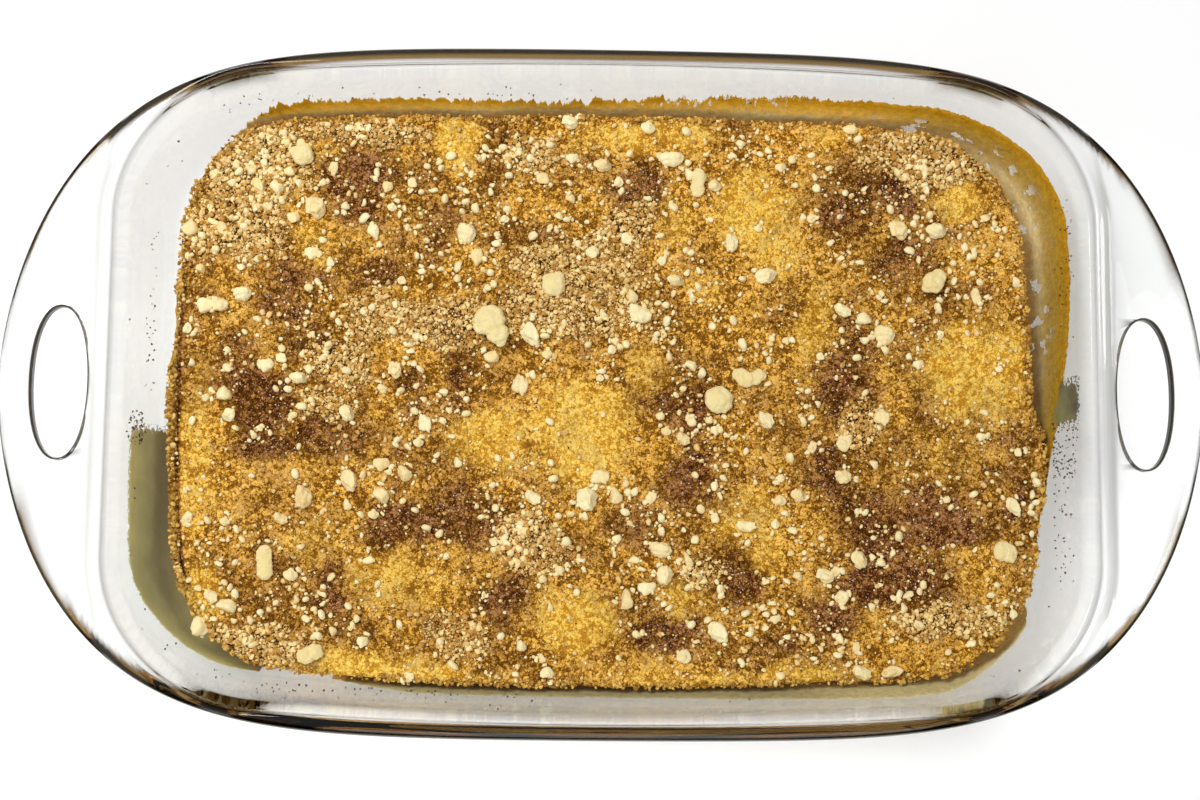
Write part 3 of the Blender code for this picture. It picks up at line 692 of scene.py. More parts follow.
def cake_material(finish):
    """Baked cake top: orange-brown sugar, darker patches, bare golden cake and tan crumbs."""
    material, tree, shader = new_material("baked_cake_top")
    where = node(tree, "ShaderNodeTexCoord").outputs["Object"]
    grains = node(tree, "ShaderNodeGroup", node_tree=grain_group())
    drift = noise(tree, where, 260.0, 5.0, 0.62)
    wide = noise(tree, where, 62.0, 4.0)
    mottle = noise(tree, where, 820.0, 4.0, 0.7)
    value = maths(tree, "MULTIPLY_ADD", drift, 1.7,
                  maths(tree, "MULTIPLY_ADD", grains.outputs["Value"], 1.1, -0.90))
    value = maths(tree, "MULTIPLY_ADD", mottle, 1.3,
                  maths(tree, "SUBTRACT", value, 0.65))
    value = maths(tree, "MULTIPLY_ADD", maths(tree, "SUBTRACT", wide, 0.5), 1.3, value)
    # The seams between grains are darkened as painted shade
    value = maths(tree, "MULTIPLY_ADD", grains.outputs["Seam"], -0.60,
                  maths(tree, "ADD", value, 0.14))

    def shades(mid, low, high, lift):
        """From dark warm gaps, dark partly with the painted shade of the seams, to pale grains about a
        middle colour.
        """
        dark = [c * low * warmth for c, warmth in zip(mid, (1.0, 0.74, 0.45))]
        pale = [min(1.0, c * high + lift * warmth) for c, warmth in zip(mid, (1.0, 0.80, 0.42))]
        return ramp(tree, value, ((0.08, dark), (0.5, mid), (0.95, pale)))

    crust = shades(finish.crust, 0.24, 1.2, 0.20)
    sugar = shades(finish.sugar, 0.28, 2.2, 0.12)
    bare = shades(finish.bare, 0.58, 0.95, 0.24)
    # The heaps' ground is painted dark: painted shade in the gaps between the granules
    heap = shades(finish.heap, 0.22, 1.6, 0.03)

    def mask(name, wander, low=0.10, high=0.92):
        """The zone's mask with a grainy border."""
        moved = maths(tree, "MULTIPLY_ADD", maths(tree, "SUBTRACT", drift, 0.5),
                      wander, attribute(tree, name))
        moved = maths(tree, "MULTIPLY_ADD", maths(tree, "SUBTRACT", wide, 0.5),
                      wander * 0.8, moved)
        return between(tree, moved, low, high)

    mixed = mix(tree, mask("bare", 1.1), crust, bare)
    mixed = mix(tree, mask("sugar", 1.3, -0.10, 1.00), mixed, sugar)
    mixed = mix(tree, mask("heap", 0.9), mixed, heap)
    mixed = mix(tree, maths(tree, "MULTIPLY", attribute(tree, "ridge"), 0.8), mixed,
                shades(finish.lip, 0.5, 1.4, 0.05))
    # The groove is painted with the dark sugar colour: painted shade in the crease
    mixed = mix(tree, attribute(tree, "groove"), mixed, sugar)
    # The sides below the top: paler crumb that browns towards the edges
    height = node(tree, "ShaderNodeSeparateXYZ", {"Vector": where}).outputs["Z"]
    side_value = maths(tree, "MULTIPLY_ADD", drift, 1.0,
                       maths(tree, "MULTIPLY", between(tree, height, 0.004, 0.026), 0.25))
    side_value = maths(tree, "MULTIPLY_ADD", mottle, 0.9,
                       maths(tree, "SUBTRACT", side_value, 0.45))
    side = ramp(tree, side_value, ((0.25, [c * 0.30 for c in finish.side]), (0.58, finish.side),
                                   (0.95, [min(1.0, c * 1.8 + 0.03) for c in finish.side])))
    golden = maths(tree, "MULTIPLY_ADD", attribute(tree, "bare"), -0.8, 1.0)
    mixed = mix(tree, maths(tree, "MULTIPLY", attribute(tree, "side"), golden), mixed, side)
    tree.links.new(mixed, shader.inputs["Base Color"])
    shade = between(tree, value, 0.1, 0.9)
    rough = maths(tree, "MULTIPLY_ADD", shade, 0.25, 0.60)
    tree.links.new(rough, shader.inputs["Roughness"])
    shader.inputs["Specular IOR Level"].default_value = 0.02
    bumpy = bump(tree, grains.outputs["Height"], 0.80, 0.0004)
    bumpy = bump(tree, drift, 0.45, 0.0012, bumpy)
    tree.links.new(bumpy, shader.inputs["Normal"])
    return material


def crumb_material(name, pale, deep, roughness, grain_strength):
    """Crumbly topping: each crumb has its own tint, with deeper hollows and fine grain."""
    material, tree, shader = new_material(name)
    where = node(tree, "ShaderNodeTexCoord").outputs["Object"]
    cloud = noise(tree, where, 420.0, 4.0)
    fine = noise(tree, where, 2600.0, 3.0)
    share = maths(tree, "MULTIPLY_ADD", cloud, 0.9,
                  maths(tree, "ADD", attribute(tree, "tint"), -0.45))
    share = maths(tree, "MULTIPLY_ADD", fine, 0.30, share)
    mixed = ramp(tree, share, ((0.05, pale), (0.55, [(a + b) / 2 for a, b in zip(pale, deep)]),
                               (0.95, deep)))
    tree.links.new(mixed, shader.inputs["Base Color"])
    rough = maths(tree, "MULTIPLY_ADD", fine, 0.2, roughness)
    tree.links.new(rough, shader.inputs["Roughness"])
    shader.inputs["Specular IOR Level"].default_value = 0.05
    bumpy = bump(tree, fine, grain_strength, 0.00025)
    bumpy = bump(tree, cloud, grain_strength, 0.0008, bumpy)
    tree.links.new(bumpy, shader.inputs["Normal"])
    return material


def film_material(finish):
    """Baked-on film: palest low on the wall, partly painted light against the shade beside the cake,
    olive tan above and orange brown at its top.
    """
    material, tree, shader = new_material("baked_on_film")
    where = node(tree, "ShaderNodeTexCoord").outputs["Object"]
    climb = attribute(tree, "climb")
    warm = attribute(tree, "warm")
    cloud = noise(tree, where, 150.0, 5.0, 0.6)
    fine = noise(tree, where, 1300.0, 3.0)
    level = maths(tree, "MULTIPLY_ADD", maths(tree, "SUBTRACT", cloud, 0.5), 0.5,
                  maths(tree, "MULTIPLY_ADD", warm, 0.25, climb))
    base = ramp(tree, level, ((0.0, finish.film_pale), (0.12, finish.film_grey),
                              (0.32, finish.film_olive), (0.78, finish.film_tan),
                              (0.98, finish.film_brown)))
    mottled = noise(tree, where, 420.0, 6.0, 0.75)
    # The attribute named thin is the film's lightness, with painted light and shade in it
    light = maths(tree, "MULTIPLY", attribute(tree, "thin"),
                  maths(tree, "MULTIPLY_ADD", mottled, 1.5, 0.25))
    base = mix(tree, 1.0, base, node(tree, "ShaderNodeCombineColor",
                                     {0: light, 1: light, 2: light}).outputs[0], "MULTIPLY")
    speck = between(tree, fine, 0.52, 0.70)
    mixed = mix(tree, maths(tree, "MULTIPLY", speck, 0.18), base, colour(finish.film_grey))
    shader.inputs["Specular IOR Level"].default_value = 0.10
    tree.links.new(mixed, shader.inputs["Base Color"])
    tree.links.new(maths(tree, "MULTIPLY_ADD", fine, 0.3, 0.3), shader.inputs["Roughness"])
    tree.links.new(bump(tree, cloud, 0.5, 0.0008), shader.inputs["Normal"])
    # Scraped places, where the glass shows
    scrape = noise(tree, where, 150.0, 4.0)
    gone = maths(tree, "MULTIPLY", between(tree, scrape, 0.575, 0.60),
                 attribute(tree, "scraped"))
    upright = node(tree, "ShaderNodeVectorMath", {0: where, 1: (1.0, 1.0, 0.10)},
                   operation="MULTIPLY").outputs[0]
    scratch = noise(tree, upright, 620.0, 2.0)
    lines = maths(tree, "MULTIPLY", between(tree, scratch, 0.58, 0.62),
                  attribute(tree, "scratched"))
    gone = maths(tree, "MAXIMUM", gone, lines)
    cover = maths(tree, "MULTIPLY_ADD", between(tree, level, 0.2, 0.8), 0.04, 0.95)
    tree.links.new(maths(tree, "MULTIPLY_ADD", gone, -0.75, cover), shader.inputs["Alpha"])
    return material


def plain_grain_material(name, first, second, scale, roughness):
    """A finish of two mixed colours with a fine uneven skin."""
    material, tree, shader = new_material(name)
    where = node(tree, "ShaderNodeTexCoord").outputs["Object"]
    cloud = noise(tree, where, scale, 4.0)
    mixed = mix(tree, between(tree, cloud, 0.3, 0.7), colour(first), colour(second))
    tree.links.new(mixed, shader.inputs["Base Color"])
    tree.links.new(maths(tree, "MULTIPLY_ADD", cloud, 0.2, roughness), shader.inputs["Roughness"])
    tree.links.new(bump(tree, cloud, 0.3, 0.0005), shader.inputs["Normal"])
    return material


def grease_and_reflection_material(name, pale, deep, cover):
    """Greasy film whose colour is a painted reflection of dark surroundings: darker beside the cake,
    breaking into droplets along its borders.
    """
    material, tree, shader = new_material(name)
    where = node(tree, "ShaderNodeTexCoord").outputs["Object"]
    cloud = noise(tree, where, 110.0, 5.0)
    drops = noise(tree, where, 950.0, 2.0)
    share = maths(tree, "MULTIPLY_ADD", attribute(tree, "climb"), 0.9,
                  maths(tree, "MULTIPLY_ADD", cloud, 1.1, -0.55))
    mixed = mix(tree, between(tree, share, 0.05, 0.95), colour(deep), colour(pale))
    tree.links.new(mixed, shader.inputs["Base Color"])
    tree.links.new(maths(tree, "MULTIPLY_ADD", cloud, 0.2, 0.25), shader.inputs["Roughness"])
    shader.inputs["Specular IOR Level"].default_value = 0.25
    tree.links.new(bump(tree, drops, 0.4, 0.0004), shader.inputs["Normal"])
    left = maths(tree, "MULTIPLY_ADD", attribute(tree, "body"), 0.75, drops)
    tree.links.new(maths(tree, "MULTIPLY", between(tree, left, 0.56, 0.62), cover),
                   shader.inputs["Alpha"])
    return material


# Glass dish

def dish_edge_distance(points, outward):
    """Distance from each point of the opening to the outer edge of the dish."""
    near, far = np.zeros(len(points)), np.full(len(points), DISH_HALF_LENGTH)
    for _ in range(40):
        middle = (near + far) / 2
        place = points + outward * middle[:, None]
        x = np.abs(place[:, 0]) / DISH_HALF_LENGTH
        y = np.abs(place[:, 1]) / (DISH_HALF_WIDTH * (1.0 - OUTLINE_BOW * x * x))
        outside = x ** OUTLINE_END_POWER + y ** OUTLINE_SIDE_POWER > 1.0
        far = np.where(outside, middle, far)
        near = np.where(outside, near, middle)
    return near


def rim_controls(width):
    """Offset and height of the rim's profile for each width from opening to edge."""
    top = DISH_HEIGHT
    plate_top = top - PLATE_DROP
    plate_bottom = plate_top - PLATE_THICKNESS
    bead_bottom = top - BEAD_DEPTH
    wall_outside = WALL_THICKNESS / math.cos(WALL_LEAN)
    plate = smoothstep(PLATE_STARTS, PLATE_FULL, width)
    level = np.ones_like(width)
    return (
        (-wall_inset(top - 4 * RIM_STRAIGHT) * level, (top - 4 * RIM_STRAIGHT) * level),
        (0.0 * level, (top - RIM_STRAIGHT) * level),
        (0.3 * CREST_IN * level, (top - 0.25 * RIM_STRAIGHT) * level),
        (CREST_IN * level, top * level),
        (blend(0.70 * width, 0.0042, plate), (top - 0.0006) * level),
        (blend(0.90 * width, 0.0075, plate), blend(top - 0.0017, plate_top, plate)),
        (blend(width, width - 0.0016, plate), blend(top - 0.0034, plate_top, plate)),
        (width, (top - 0.55 * BEAD_DEPTH) * level),
        (width - 0.0013, blend(bead_bottom, plate_bottom, plate)),
        (blend(0.62 * width, 0.0068, plate), blend(bead_bottom, plate_bottom, plate)),
        ((wall_outside - wall_inset(bead_bottom - 0.0022)) * level,
         (bead_bottom - 0.0022) * level),
        ((wall_outside - wall_inset(bead_bottom - 0.0080)) * level,
         (bead_bottom - 0.0080) * level),
    )


def rim_rings(points, outward, steps):
    """Smooth rings over the rim, through the same profile points as the part's source."""
    width = dish_edge_distance(points, outward)
    controls = [np.array(pair) for pair in rim_controls(width)]
    rings = []
    for index in range(1, len(controls) - 2):
        before, start, end, after = controls[index - 1:index + 3]
        chord = np.hypot(*(end - start))
        # Tangents no longer than the step itself, so that the curve never swings past a point
        leave, arrive = (end - before) / 2, (after - start) / 2
        leave = leave * np.minimum(1.0, chord / np.hypot(*leave))
        arrive = arrive * np.minimum(1.0, chord / np.hypot(*arrive))
        for step in range(steps):
            t = step / steps
            offset, height = ((2 * t ** 3 - 3 * t * t + 1) * start + (3 * t * t - 2 * t ** 3) * end
                              + (t ** 3 - 2 * t * t + t) * leave + (t ** 3 - t * t) * arrive)
            offset, height = np.minimum(offset, width), np.minimum(height, DISH_HEIGHT)
            rings.append(np.column_stack([points + outward * offset[:, None], height]))
    offset, height = controls[-2]
    rings.append(np.column_stack([points + outward * offset[:, None], height]))
    return rings


def handle_hole_cutter(side, rounding):
    """An oval plug for one finger hole, flared so that it rounds both edges of the hole."""
    plate_top = DISH_HEIGHT - PLATE_DROP
    turn = np.linspace(0.0, 2 * math.pi, 96, endpoint=False)
    across = np.sign(np.cos(turn)) * np.abs(np.cos(turn)) ** (2 / HOLE_POWER)
    along = np.sign(np.sin(turn)) * np.abs(np.sin(turn)) ** (2 / HOLE_POWER)
    flare = [(rounding * (1 - math.cos(angle)), rounding * (math.sin(angle) - 1))
             for angle in np.radians((0, 20, 40, 60))]
    flare.append((flare[-1][0] + 0.0035, flare[-1][1] + 0.0035 * math.tan(math.radians(40))))
    levels = [(grow, plate_top + rise) for grow, rise in flare]
    levels = [(grow, plate_top - PLATE_THICKNESS - rise) for grow, rise in reversed(flare)] + levels
    rings = [np.column_stack([side * HOLE_CENTRE + (HOLE_HALF_WIDTH + grow) * across,
                              (HOLE_HALF_LENGTH + grow) * along, np.full(len(turn), height)])
             for grow, height in levels]
    return wrap("hole_plug", rings)


def build_dish(settings, finish):
    places = np.concatenate([
        even_places(first, last, 2 * steps, 0.0, 0.0, 0.0)[:-1]
        for first, last, steps in outline_sides(settings.outline_detail)])
    points, outward = outline_at(places)
    rings = [ring(points, outward, inset, height)
             for inset, height in base_curve_profile(BASE_CURVE, 12)]
    low, high = rings[-1][0, 2], DISH_HEIGHT - RIM_STRAIGHT
    for share in (0.2, 0.4, 0.6, 0.8, 0.93):
        height = blend(low, high, share)
        rings.append(ring(points, outward, wall_inset(height) * (1 - share ** 8), height))
    rings += rim_rings(points, outward, 4)
    outer = base_curve_profile(BASE_CURVE + BASE_THICKNESS, 12)
    start, end = rings[-1], ring(points, outward, *outer[-1])
    rings += [blend(start, end, share) for share in (0.25, 0.5, 0.75)]
    rings += [ring(points, outward, inset, height) for inset, height in reversed(outer)]
    dish = wrap("glass_dish", rings)
    cutters = [handle_hole_cutter(side, settings.hole_rounding) for side in (-1, 1)]
    for cutter in cutters:
        cut = dish.modifiers.new("finger_hole", "BOOLEAN")
        cut.operation = "DIFFERENCE"
        cut.solver = "EXACT"
        cut.object = cutter
    apply_modifiers(dish)
    for cutter in cutters:
        bpy.data.objects.remove(cutter, do_unlink=True)
    close_skin(dish)
    at = coordinates(dish)
    x, y = np.abs(at[:, 0]) / DISH_HALF_LENGTH, np.abs(at[:, 1])
    edge = (DISH_HALF_WIDTH * (1.0 - OUTLINE_BOW * x * x)
            * np.maximum(1.0 - x ** OUTLINE_END_POWER, 0.0) ** (1.0 / OUTLINE_SIDE_POWER))
    along_sides = 1.0 - smoothstep(BEAD_FULL, BEAD_GONE, edge - y)
    high = smoothstep(DISH_HEIGHT - BEAD_DEPTH - 0.001, DISH_HEIGHT - BEAD_DEPTH + 0.001, at[:, 2])
    rounded = 0.6 * settings.hole_rounding
    oval = ((np.abs(np.abs(at[:, 0]) - HOLE_CENTRE) / (HOLE_HALF_WIDTH + rounded)) ** HOLE_POWER
            + (np.abs(at[:, 1]) / (HOLE_HALF_LENGTH + rounded)) ** HOLE_POWER)
    in_hole = (oval < 1.0) & (at[:, 2] > DISH_HEIGHT / 2)
    # A painted dark streak along the crest at the ends of the dish
    crest_painted_streak = np.zeros(len(at))
    upper = np.flatnonzero((at[:, 2] > DISH_HEIGHT - 0.0035) & (np.abs(at[:, 0]) > 0.11))
    away = at[upper, None, :2] - OPENING[None]
    nearest = np.argmin((away ** 2).sum(axis=2), axis=1)
    out = (away[np.arange(len(upper)), nearest] * OUTWARD[nearest]).sum(axis=1)
    fade = smoothstep(0.12, 0.15, np.abs(at[upper, 0]))
    crest_painted_streak[upper] = 0.6 * fade * np.clip(1.0 - np.abs(out - 0.0004) / 0.0009, 0.0, 1.0)
    # bead marks where the rim's painted glint and painted black apply, hole marks the finger holes'
    # edges, which are painted black
    add_values(dish, "bead", np.maximum(along_sides * high, crest_painted_streak))
    add_values(dish, "hole", 1.0 * in_hole)
    finish_piece(dish, glass_material(finish), ["baking_dish"])
    # Keeps the flat plates flat right up to the rounded edges of the holes
    near = ((np.abs(np.abs(at[:, 0]) - HOLE_CENTRE) < HOLE_HALF_WIDTH + 0.004)
            & (np.abs(at[:, 1]) < HOLE_HALF_LENGTH + 0.004) & (at[:, 2] > DISH_HEIGHT / 2))
    if not near.any():
        raise RuntimeError("the finger holes are missing")
    group = dish.vertex_groups.new(name="hole_edges")
    group.add([int(index) for index in np.flatnonzero(near)], 1.0, "REPLACE")
    even = dish.modifiers.new("even_normals", "WEIGHTED_NORMAL")
    even.vertex_group = group.name
    even.weight = 90
    apply_modifiers(dish)
    all_off()


def outline_sides(detail):
    """First and last index of each side of the outline between corner middles, and steps."""
    a, b, c, d = CORNER_MIDDLES
    return ((a, b, detail * 3 // 2), (b, c, detail), (c, d, detail * 3 // 2),
            (d, a + len(OPENING), detail))


# Cake

def build_cake(settings, finish):
    columns, rows = settings.top_columns, settings.top_rows
    inset = (CAKE_INSET_ENDS, CAKE_INSET_SIDES, CAKE_CORNER_SHRINK)
    a, b, c, d = CORNER_MIDDLES
    sides = [even_places(first, last, steps, *inset) for first, last, steps in
             ((a, b, columns), (b, c, rows), (c, d, columns), (d, a + len(OPENING), rows))]
    ragged_seed = 61

    def edge(places):
        points, outward = outline_at(places)
        rag = 0.0009 * value_noise(points[:, 0], points[:, 1], 0.004, ragged_seed)
        rag += 0.0006 * value_noise(points[:, 0], points[:, 1], 0.0015, ragged_seed + 1)
        rag -= MM * between_keys(station_of(points), EDGE_SHIFTS)
        return cake_line(points, outward, *inset, rag)

    top, left, bottom, right = (edge(places) for places in sides)
    top, left = top[::-1], left[::-1]
    cake, column, row = grid("baked_cake", columns, rows)
    u, v = (column / columns)[:, None], (row / rows)[:, None]
    plan = ((1 - v) * bottom[column] + v * top[column] + (1 - u) * left[row] + u * right[row]
            - (1 - u) * (1 - v) * bottom[0] - u * (1 - v) * bottom[-1]
            - (1 - u) * v * top[0] - u * v * top[-1])
    x, y = plan[:, 0].copy(), plan[:, 1].copy()
    inside = np.maximum(edge_distance(x, y), 0.0)
    put(cake, np.column_stack([x, y, top_height(x, y, inside)]))

    # The sides, straight down from the edge of the top, then under the base
    places = np.concatenate([part[:-1] for part in sides])
    points, outward = outline_at(places)
    first = edge(places)
    first = np.column_stack([first, top_height(first[:, 0], first[:, 1], np.zeros(len(first)))])
    drawn_in = ((points - first[:, :2]) * outward).sum(axis=1)
    rings = [first]
    for below in (0.0016, 0.0026, 0.0038, 0.0058):
        fine = 0.0003 * value_noise(points[:, 0] + below, points[:, 1], 0.0016, 72)
        plan = first[:, :2] + outward * fine[:, None]
        rings.append(np.column_stack([plan, np.full(len(plan), CAKE_EDGE - below)]))
    for out, height in reversed(base_curve_profile(BASE_CURVE + CAKE_INTO_GLASS, 10)):
        rings.append(ring(points, outward, np.maximum(out, drawn_in)[:, None], height))
    rings = np.array(rings)
    skirt, column, row = grid("cake_side", rings.shape[1], rings.shape[0] - 1)
    put(skirt, rings[row, column % rings.shape[1]])
    all_off()
    skirt.select_set(True)
    cake.select_set(True)
    bpy.context.view_layer.objects.active = cake
    bpy.ops.object.join()
    close_skin(cake)
    at = coordinates(cake)
    sugar, bare, heap = zones(at[:, 0], at[:, 1])
    add_values(cake, "sugar", sugar)
    add_values(cake, "bare", bare)
    add_values(cake, "heap", heap)
    ridge, groove = lip(at[:, 0], at[:, 1], edge_distance(at[:, 0], at[:, 1]))
    add_values(cake, "ridge", ridge)
    add_values(cake, "groove", groove)
    add_values(cake, "side", 1.0 - smoothstep(CAKE_EDGE - 0.0030, CAKE_EDGE - 0.0012, at[:, 2]))
    finish_piece(cake, cake_material(finish), ["cake"])


# Topping

def crumb_shape(name, fineness, pulls, uneven, chips, seed, rough=0.30):
    """A crumb about one unit wide: a ball pulled about, then broken flat at a few places."""
    all_off()
    if fineness:
        bpy.ops.mesh.primitive_ico_sphere_add(subdivisions=fineness, radius=0.5)
    else:
        bpy.ops.mesh.primitive_cone_add(vertices=4, radius1=0.5, radius2=0.0, depth=0.8,
                                        end_fill_type="TRIFAN")
    shape = bpy.context.active_object
    shape.name = shape.data.name = name
    draw = random.Random(seed)
    places = coordinates(shape)
    direction = places / np.linalg.norm(places, axis=1)[:, None]
    swell = np.zeros(len(places))
    for _ in range(pulls):
        pull = Vector([draw.uniform(-1, 1) for _ in range(3)]).normalized()
        amount = draw.uniform(-uneven, uneven)
        swell += amount * np.maximum(0.0, direction @ np.array(pull)) ** 3
    if fineness < 2:
        swell += [draw.uniform(-rough, rough) for _ in places]
    places = places * (1.0 + swell)[:, None]
    for _ in range(chips):
        side = np.array(Vector([draw.uniform(-1, 1) for _ in range(3)]).normalized())
        beyond = np.maximum(0.0, places @ side - draw.uniform(0.30, 0.42))
        places = places - 0.85 * beyond[:, None] * side
    if fineness > 2:
        knobs = np.sin(13 * places + seed).sum(axis=1)
        knobs += np.sin(23 * places[:, ::-1] + 2 * seed).sum(axis=1)
        places = places * (1.0 + 0.035 * knobs)[:, None]
    put(shape, places)
    return shape


def shape_arrays(shape):
    """Vertices and triangles of a modelled shape, which is then removed."""
    places = coordinates(shape)
    faces = np.array([list(face.vertices) for face in shape.data.polygons])
    bpy.data.objects.remove(shape, do_unlink=True)
    return places, faces


def scatter(name, shapes, crumbs, seed, tilt=0.35):
    """One piece of many crumbs, each a copy of a shape, at its place, size and tint.

    crumbs holds rows of x, y, length, width, height, sink share, turn, tint.
    """
    draw = np.random.default_rng(seed)
    crumbs = np.asarray(crumbs, dtype=float)
    ground = top_height(crumbs[:, 0], crumbs[:, 1])
    kind = draw.integers(0, len(shapes), len(crumbs))
    tilt_x, tilt_y = draw.uniform(-tilt, tilt, (2, len(crumbs)))
    all_places, all_faces, all_tints, start = [], [], [], 0
    for index, (places, faces) in enumerate(shapes):
        rows = np.flatnonzero(kind == index)
        x, y, long, wide, tall, sink, turn, tint = crumbs[rows].T
        shaped = places[None] * np.stack([long, wide, tall], axis=1)[:, None]
        for first, second, angle in ((1, 2, tilt_x[rows]), (2, 0, tilt_y[rows]), (0, 1, turn)):
            c, s = np.cos(angle)[:, None], np.sin(angle)[:, None]
            a, b = shaped[..., first].copy(), shaped[..., second].copy()
            shaped[..., first], shaped[..., second] = c * a - s * b, s * a + c * b
        shaped += np.stack([x, y, ground[rows] + tall * (0.5 - sink)], axis=1)[:, None]
        steps = start + len(places) * np.arange(len(rows))
        all_places.append(shaped.reshape(-1, 3))
        all_faces.append((faces[None] + steps[:, None, None]).reshape(-1, faces.shape[1]))
        all_tints.append(np.repeat(tint, len(places)))
        start += len(places) * len(rows)
    piece = mesh_piece(name, all_places, all_faces)
    add_values(piece, "tint", np.concatenate(all_tints))
    return piece


def random_places(count, seed, chance, margin):
    """Random places on the cake's top, kept with a chance that depends on the zones."""
    draw = np.random.default_rng(seed)
    found_x, found_y = [], []
    while sum(map(len, found_x)) < count:
        x = draw.uniform(-OPENING_HALF_LENGTH, OPENING_HALF_LENGTH, 4 * count)
        y = draw.uniform(-OPENING_HALF_WIDTH, OPENING_HALF_WIDTH, 4 * count)
        inside = true_inside(x, y) > margin
        x, y = x[inside], y[inside]
        kept = draw.uniform(0.0, 1.0, len(x)) < chance(x, y)
        found_x.append(x[kept])
        found_y.append(y[kept])
    return np.concatenate(found_x)[:count], np.concatenate(found_y)[:count]


def drop_near(x, y, radius, taken):
    """Which places keep clear of those already taken, rows of x, y, radius."""
    free = np.ones(len(x), bool)
    for tx, ty, tr in taken:
        free &= np.hypot(x - tx, y - ty) > radius + tr
    return free


def listed_crumbs(rows, seed, sink):
    draw = random.Random(seed)
    made = []
    for x, y, long, wide in rows:
        tall = draw.uniform(0.62, 0.80) * min(long, wide)
        made.append((x * MM, y * MM, long * MM, wide * MM, tall * MM, sink,
                     draw.uniform(-0.25, 0.25), draw.uniform(0.0, 0.5)))
    return made


def lump_boxes():
    return [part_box("crumb_lump_%02d" % (index + 1)) for index in range(len(LUMP_FORMS))]


def build_lumps(settings, finish):
    """Berry-sized lumps: a few balls grown into one body, uneven and flat underneath."""
    material = crumb_material("pale_lump", finish.lump_pale, finish.lump_deep, 0.50, 0.30)
    clouds = bpy.data.textures.new("lump_unevenness", "CLOUDS")
    clouds.noise_scale = 0.0022
    for index, (form, (low, high)) in enumerate(zip(LUMP_FORMS, lump_boxes())):
        low, high = Vector(low), Vector(high)
        middle, half = (low + high) / 2, (high - low) / 2
        balls = []
        for x, y, z, radius in form:
            all_off()
            place = (middle.x + x * half.x, middle.y + y * half.y, low.z + z * 2 * half.z)
            bpy.ops.mesh.primitive_ico_sphere_add(subdivisions=4, radius=radius, location=place)
            ball = bpy.context.active_object
            ball.scale = (half.x, half.y, half.z)
            balls.append(ball)
        all_off()
        for ball in balls:
            ball.select_set(True)
        bpy.context.view_layer.objects.active = balls[0]
        if len(balls) > 1:
            bpy.ops.object.join()
        lump = bpy.context.active_object
        lump.name = lump.data.name = "topping_lump_%02d" % (index + 1)
        bpy.ops.object.transform_apply(location=True, rotation=True, scale=True)
        merge = lump.modifiers.new("merge", "REMESH")
        merge.mode = "VOXEL"
        merge.voxel_size = settings.lump_voxel
        soften = lump.modifiers.new("soften", "SMOOTH")
        soften.factor = 0.5
        soften.iterations = 8
        crag = lump.modifiers.new("crag", "DISPLACE")
        crag.texture = clouds
        crag.texture_coords = "GLOBAL"
        crag.strength = 0.0011
        crag.mid_level = 0.5
        apply_modifiers(lump)
        places = coordinates(lump)
        grown_low, grown_high = places.min(axis=0), places.max(axis=0)
        share = (places - grown_low) / (grown_high - grown_low)
        places = np.array(low) + share * (np.array(high) - np.array(low))
        places[:, 2] = np.maximum(places[:, 2], low.z + 0.0002) - 0.0006
        put(lump, places)
        add_values(lump, "tint", np.full(len(places), 0.15 + 0.05 * (index % 4)))
        finish_piece(lump, material, ["crumb_lump_%02d" % (index + 1)])


